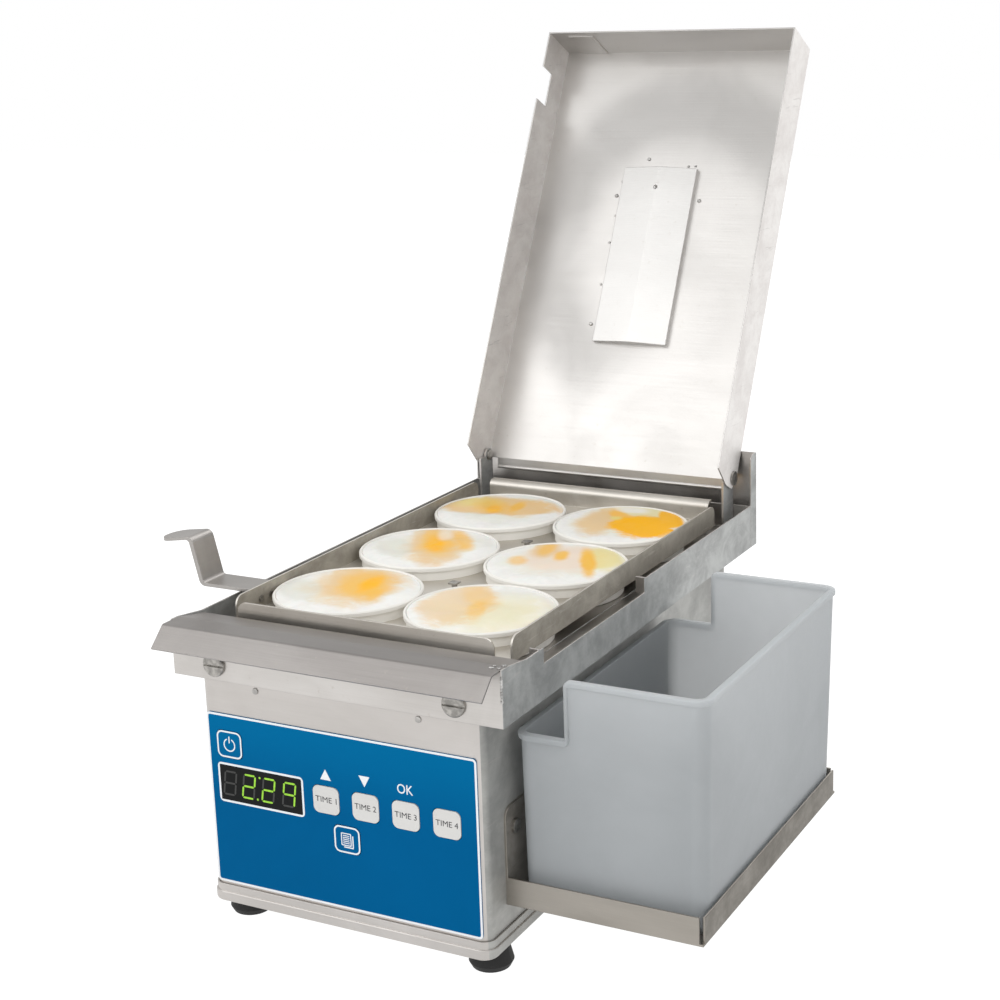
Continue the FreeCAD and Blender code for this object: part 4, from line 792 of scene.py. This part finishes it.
class EGGCOOKER_OT_welds(bpy.types.Operator):
    """Weld beads on the pan's corner and spots round the lid's well"""

    bl_idname = "egg_cooker.welds"
    bl_label = "Welds"

    # Foot of the corner's weld, its beads and the spatter on the wall's top
    WELD_FOOT = (132.6, -3.4, 207)
    BEADS, BEAD_STEP = 9, 2.1
    SPATTER, WALL_TOP = 7, 229
    LID_INSIDE = 257
    # Each spot's place on the shut lid and its size
    SPOTS = (
        (-41, 177, 1.9), (-38.5, 196, 1.2), (-39.5, 222, 1.2), (41, 180, 1.9), (24.5, 147.4, 1.2),
        (31.5, 147, 1.2), (-38, 163, 1.2), (-40, 262, 1.2), (-42.5, 300, 1.9), (-15.5, 141, 1.9),
    )

    def execute(self, context):
        bead = small_metal("weld_bead", (0.74, 0.73, 0.71), 0.3)
        corner = []
        chance = random.Random(4)
        foot_x, foot_y, foot_z = self.WELD_FOOT
        for step in range(self.BEADS):
            bead_at = at(foot_x, foot_y, foot_z + step * self.BEAD_STEP)
            corner.append(blob(bead_at, 1.1 * MM, (1, 1, 1.2), 0.2, step))
        for step in range(self.SPATTER):
            x, y, size = chance.uniform(123, 131.5), chance.uniform(-3, 6), chance.uniform(0.7, 1.3)
            corner.append(blob(at(x, y, self.WALL_TOP), size * MM, (1.6, 1.0, 0.6), 0.3, 20 + step))
        joined("pan_corner_weld", corner, bead, "housing", True)
        spots = [blob(on_lid(x, y, self.LID_INSIDE), size * MM, (1, 0.8, 0.9), 0.15, 40 + number)
                 for number, (x, y, size) in enumerate(self.SPOTS)]
        joined("lid_spot_welds", spots, bead, "lid", True)
        return {"FINISHED"}


class EGGCOOKER_OT_studio(bpy.types.Operator):
    """Floor, soft lights, even sky and the camera"""

    bl_idname = "egg_cooker.studio"
    bl_label = "Studio"

    # Each lamp's place off the cooker's middle and its width, in metres
    LAMPS = {
        "key": ((-0.95, -1.4, 1.2), 1.6), "fill": ((0.8, -1.65, 1.6), 1.3),
        "back": ((0.3, 1.5, 1.6), 1.6), "side": ((1.0, 1.9, 0.25), 1.4),
    }
    FLOOR_REACH = 6.0
    CAMERA_PLACE = (679.23, -974.82, 642.05)
    # Azimuth, elevation and roll, in degrees
    CAMERA_TURN = (27.23, 13.73, -1.56)

    def execute(self, context):
        choice = context.scene.egg_cooker_studio
        scene = context.scene
        self.floor(tuple(choice.floor))
        self.sky(scene, choice.sky)
        middle = at(40, 215, 250)
        for name, (away, size) in self.LAMPS.items():
            self.light(f"{name}_light", away, middle, size, getattr(choice, f"{name}_power"))
        self.camera(scene)
        scene.view_settings.view_transform = "Standard"
        return {"FINISHED"}

    def floor(self, colour):
        mesh = bpy.data.meshes.new("floor")
        reach = self.FLOOR_REACH
        corners = [(-reach, -reach, 0), (reach, -reach, 0), (reach, reach, 0), (-reach, reach, 0)]
        mesh.from_pydata(corners, [], [(0, 1, 2, 3)])
        floor = bpy.data.objects.new("floor", mesh)
        bpy.context.scene.collection.objects.link(floor)
        made = Finish("floor_paper", Roughness=0.9, Specular_IOR_Level=0.1)
        place = made.place()
        grain = made.noise(place, 60.0, 3.0)
        shade = made.mix(grain, tuple(0.99 * part for part in colour), colour)
        made.set(Base_Color=shade)
        away = made.node("ShaderNodeVectorMath", {"operation": "LENGTH"}, {0: place}, out="Value")
        far = away.between(0.32, 0.75)
        path = made.node("ShaderNodeLightPath", out="Is Camera Ray")
        glossy = made.node("ShaderNodeLightPath", out="Is Glossy Ray")
        seen = path * (0.84 + far * 0.16) + glossy * 0.65
        blank = made.node("ShaderNodeEmission", None, {"Color": (1, 1, 1), "Strength": 1.2})
        surface = made.node("ShaderNodeMixShader", None,
                            {0: seen, 1: Value(made, made.shader.outputs[0]), 2: blank})
        made.tree.links.new(surface.socket, made.tree.nodes["Material Output"].inputs[0])
        mesh.materials.append(made.material)

    def sky(self, scene, strength):
        world = bpy.data.worlds.new("studio_sky")
        scene.world = world
        world.use_nodes = True
        tree = world.node_tree
        even = tree.nodes["Background"]
        even.inputs["Color"].default_value = (1, 1, 1, 1)
        even.inputs["Strength"].default_value = strength
        seen = tree.nodes.new("ShaderNodeBackground")
        seen.inputs["Color"].default_value = (1, 1, 1, 1)
        seen.inputs["Strength"].default_value = 1.0
        path = tree.nodes.new("ShaderNodeLightPath")
        choose = tree.nodes.new("ShaderNodeMixShader")
        tree.links.new(path.outputs["Is Camera Ray"], choose.inputs[0])
        tree.links.new(even.outputs[0], choose.inputs[1])
        tree.links.new(seen.outputs[0], choose.inputs[2])
        tree.links.new(choose.outputs[0], tree.nodes["World Output"].inputs[0])

    def light(self, name, away, middle, size, power):
        data = bpy.data.lights.new(name, "AREA")
        data.energy, data.size, data.shape = power, size, "DISK"
        lamp = bpy.data.objects.new(name, data)
        bpy.context.scene.collection.objects.link(lamp)
        lamp.location = middle + Vector(away)
        lamp.rotation_euler = (middle - lamp.location).to_track_quat("-Z", "Y").to_euler()

    def camera(self, scene):
        data = bpy.data.cameras.new("studio_camera")
        data.sensor_fit, data.sensor_width, data.lens = "HORIZONTAL", 36, 66.24
        data.shift_x, data.shift_y = -0.06, -0.045
        camera = bpy.data.objects.new("studio_camera", data)
        scene.collection.objects.link(camera)
        azimuth, elevation, roll = (math.radians(turn) for turn in self.CAMERA_TURN)
        ahead = Vector((-math.sin(azimuth) * math.cos(elevation), math.cos(azimuth) * math.cos(elevation),
                        -math.sin(elevation)))
        side = Vector((math.cos(azimuth), math.sin(azimuth), 0))
        up = side.cross(ahead)
        right = side * math.cos(roll) + up * math.sin(roll)
        top = up * math.cos(roll) - side * math.sin(roll)
        turn = Matrix((right, top, -ahead)).transposed()
        camera.matrix_world = Matrix.Translation(at(*self.CAMERA_PLACE)) @ turn.to_4x4()
        scene.camera = camera


OPERATORS = (
    EGGCOOKER_OT_sheet_metal, EGGCOOKER_OT_small_metal, EGGCOOKER_OT_plastics, EGGCOOKER_OT_panel,
    EGGCOOKER_OT_display, EGGCOOKER_OT_eggs, EGGCOOKER_OT_welds, EGGCOOKER_OT_studio,
)


class EGGCOOKER_PT_sidebar(bpy.types.Panel):
    """Lists the cooker's settings and steps"""

    bl_idname = "EGGCOOKER_PT_sidebar"
    bl_label = "Egg Cooker"
    bl_space_type = "VIEW_3D"
    bl_region_type = "UI"
    bl_category = "Egg Cooker"

    def draw(self, context):
        for group in ("egg_cooker_panel", "egg_cooker_food", "egg_cooker_studio"):
            settings = getattr(context.scene, group)
            column = self.layout.column()
            for name in settings.__annotations__:
                column.prop(settings, name)
        for step in OPERATORS:
            self.layout.operator(step.bl_idname)


CLASSES = (PanelSettings, FoodSettings, StudioSettings, *OPERATORS, EGGCOOKER_PT_sidebar)


def register():
    for made in CLASSES:
        bpy.utils.register_class(made)
    bpy.types.Scene.egg_cooker_panel = bpy.props.PointerProperty(type=PanelSettings)
    bpy.types.Scene.egg_cooker_food = bpy.props.PointerProperty(type=FoodSettings)
    bpy.types.Scene.egg_cooker_studio = bpy.props.PointerProperty(type=StudioSettings)


def unregister():
    del bpy.types.Scene.egg_cooker_studio
    del bpy.types.Scene.egg_cooker_food
    del bpy.types.Scene.egg_cooker_panel
    for made in reversed(CLASSES):
        bpy.utils.unregister_class(made)


def main():
    register()
    for step in OPERATORS:
        group, name = step.bl_idname.split(".")
        getattr(getattr(bpy.ops, group), name)()


if __name__ == "__main__":
    main()
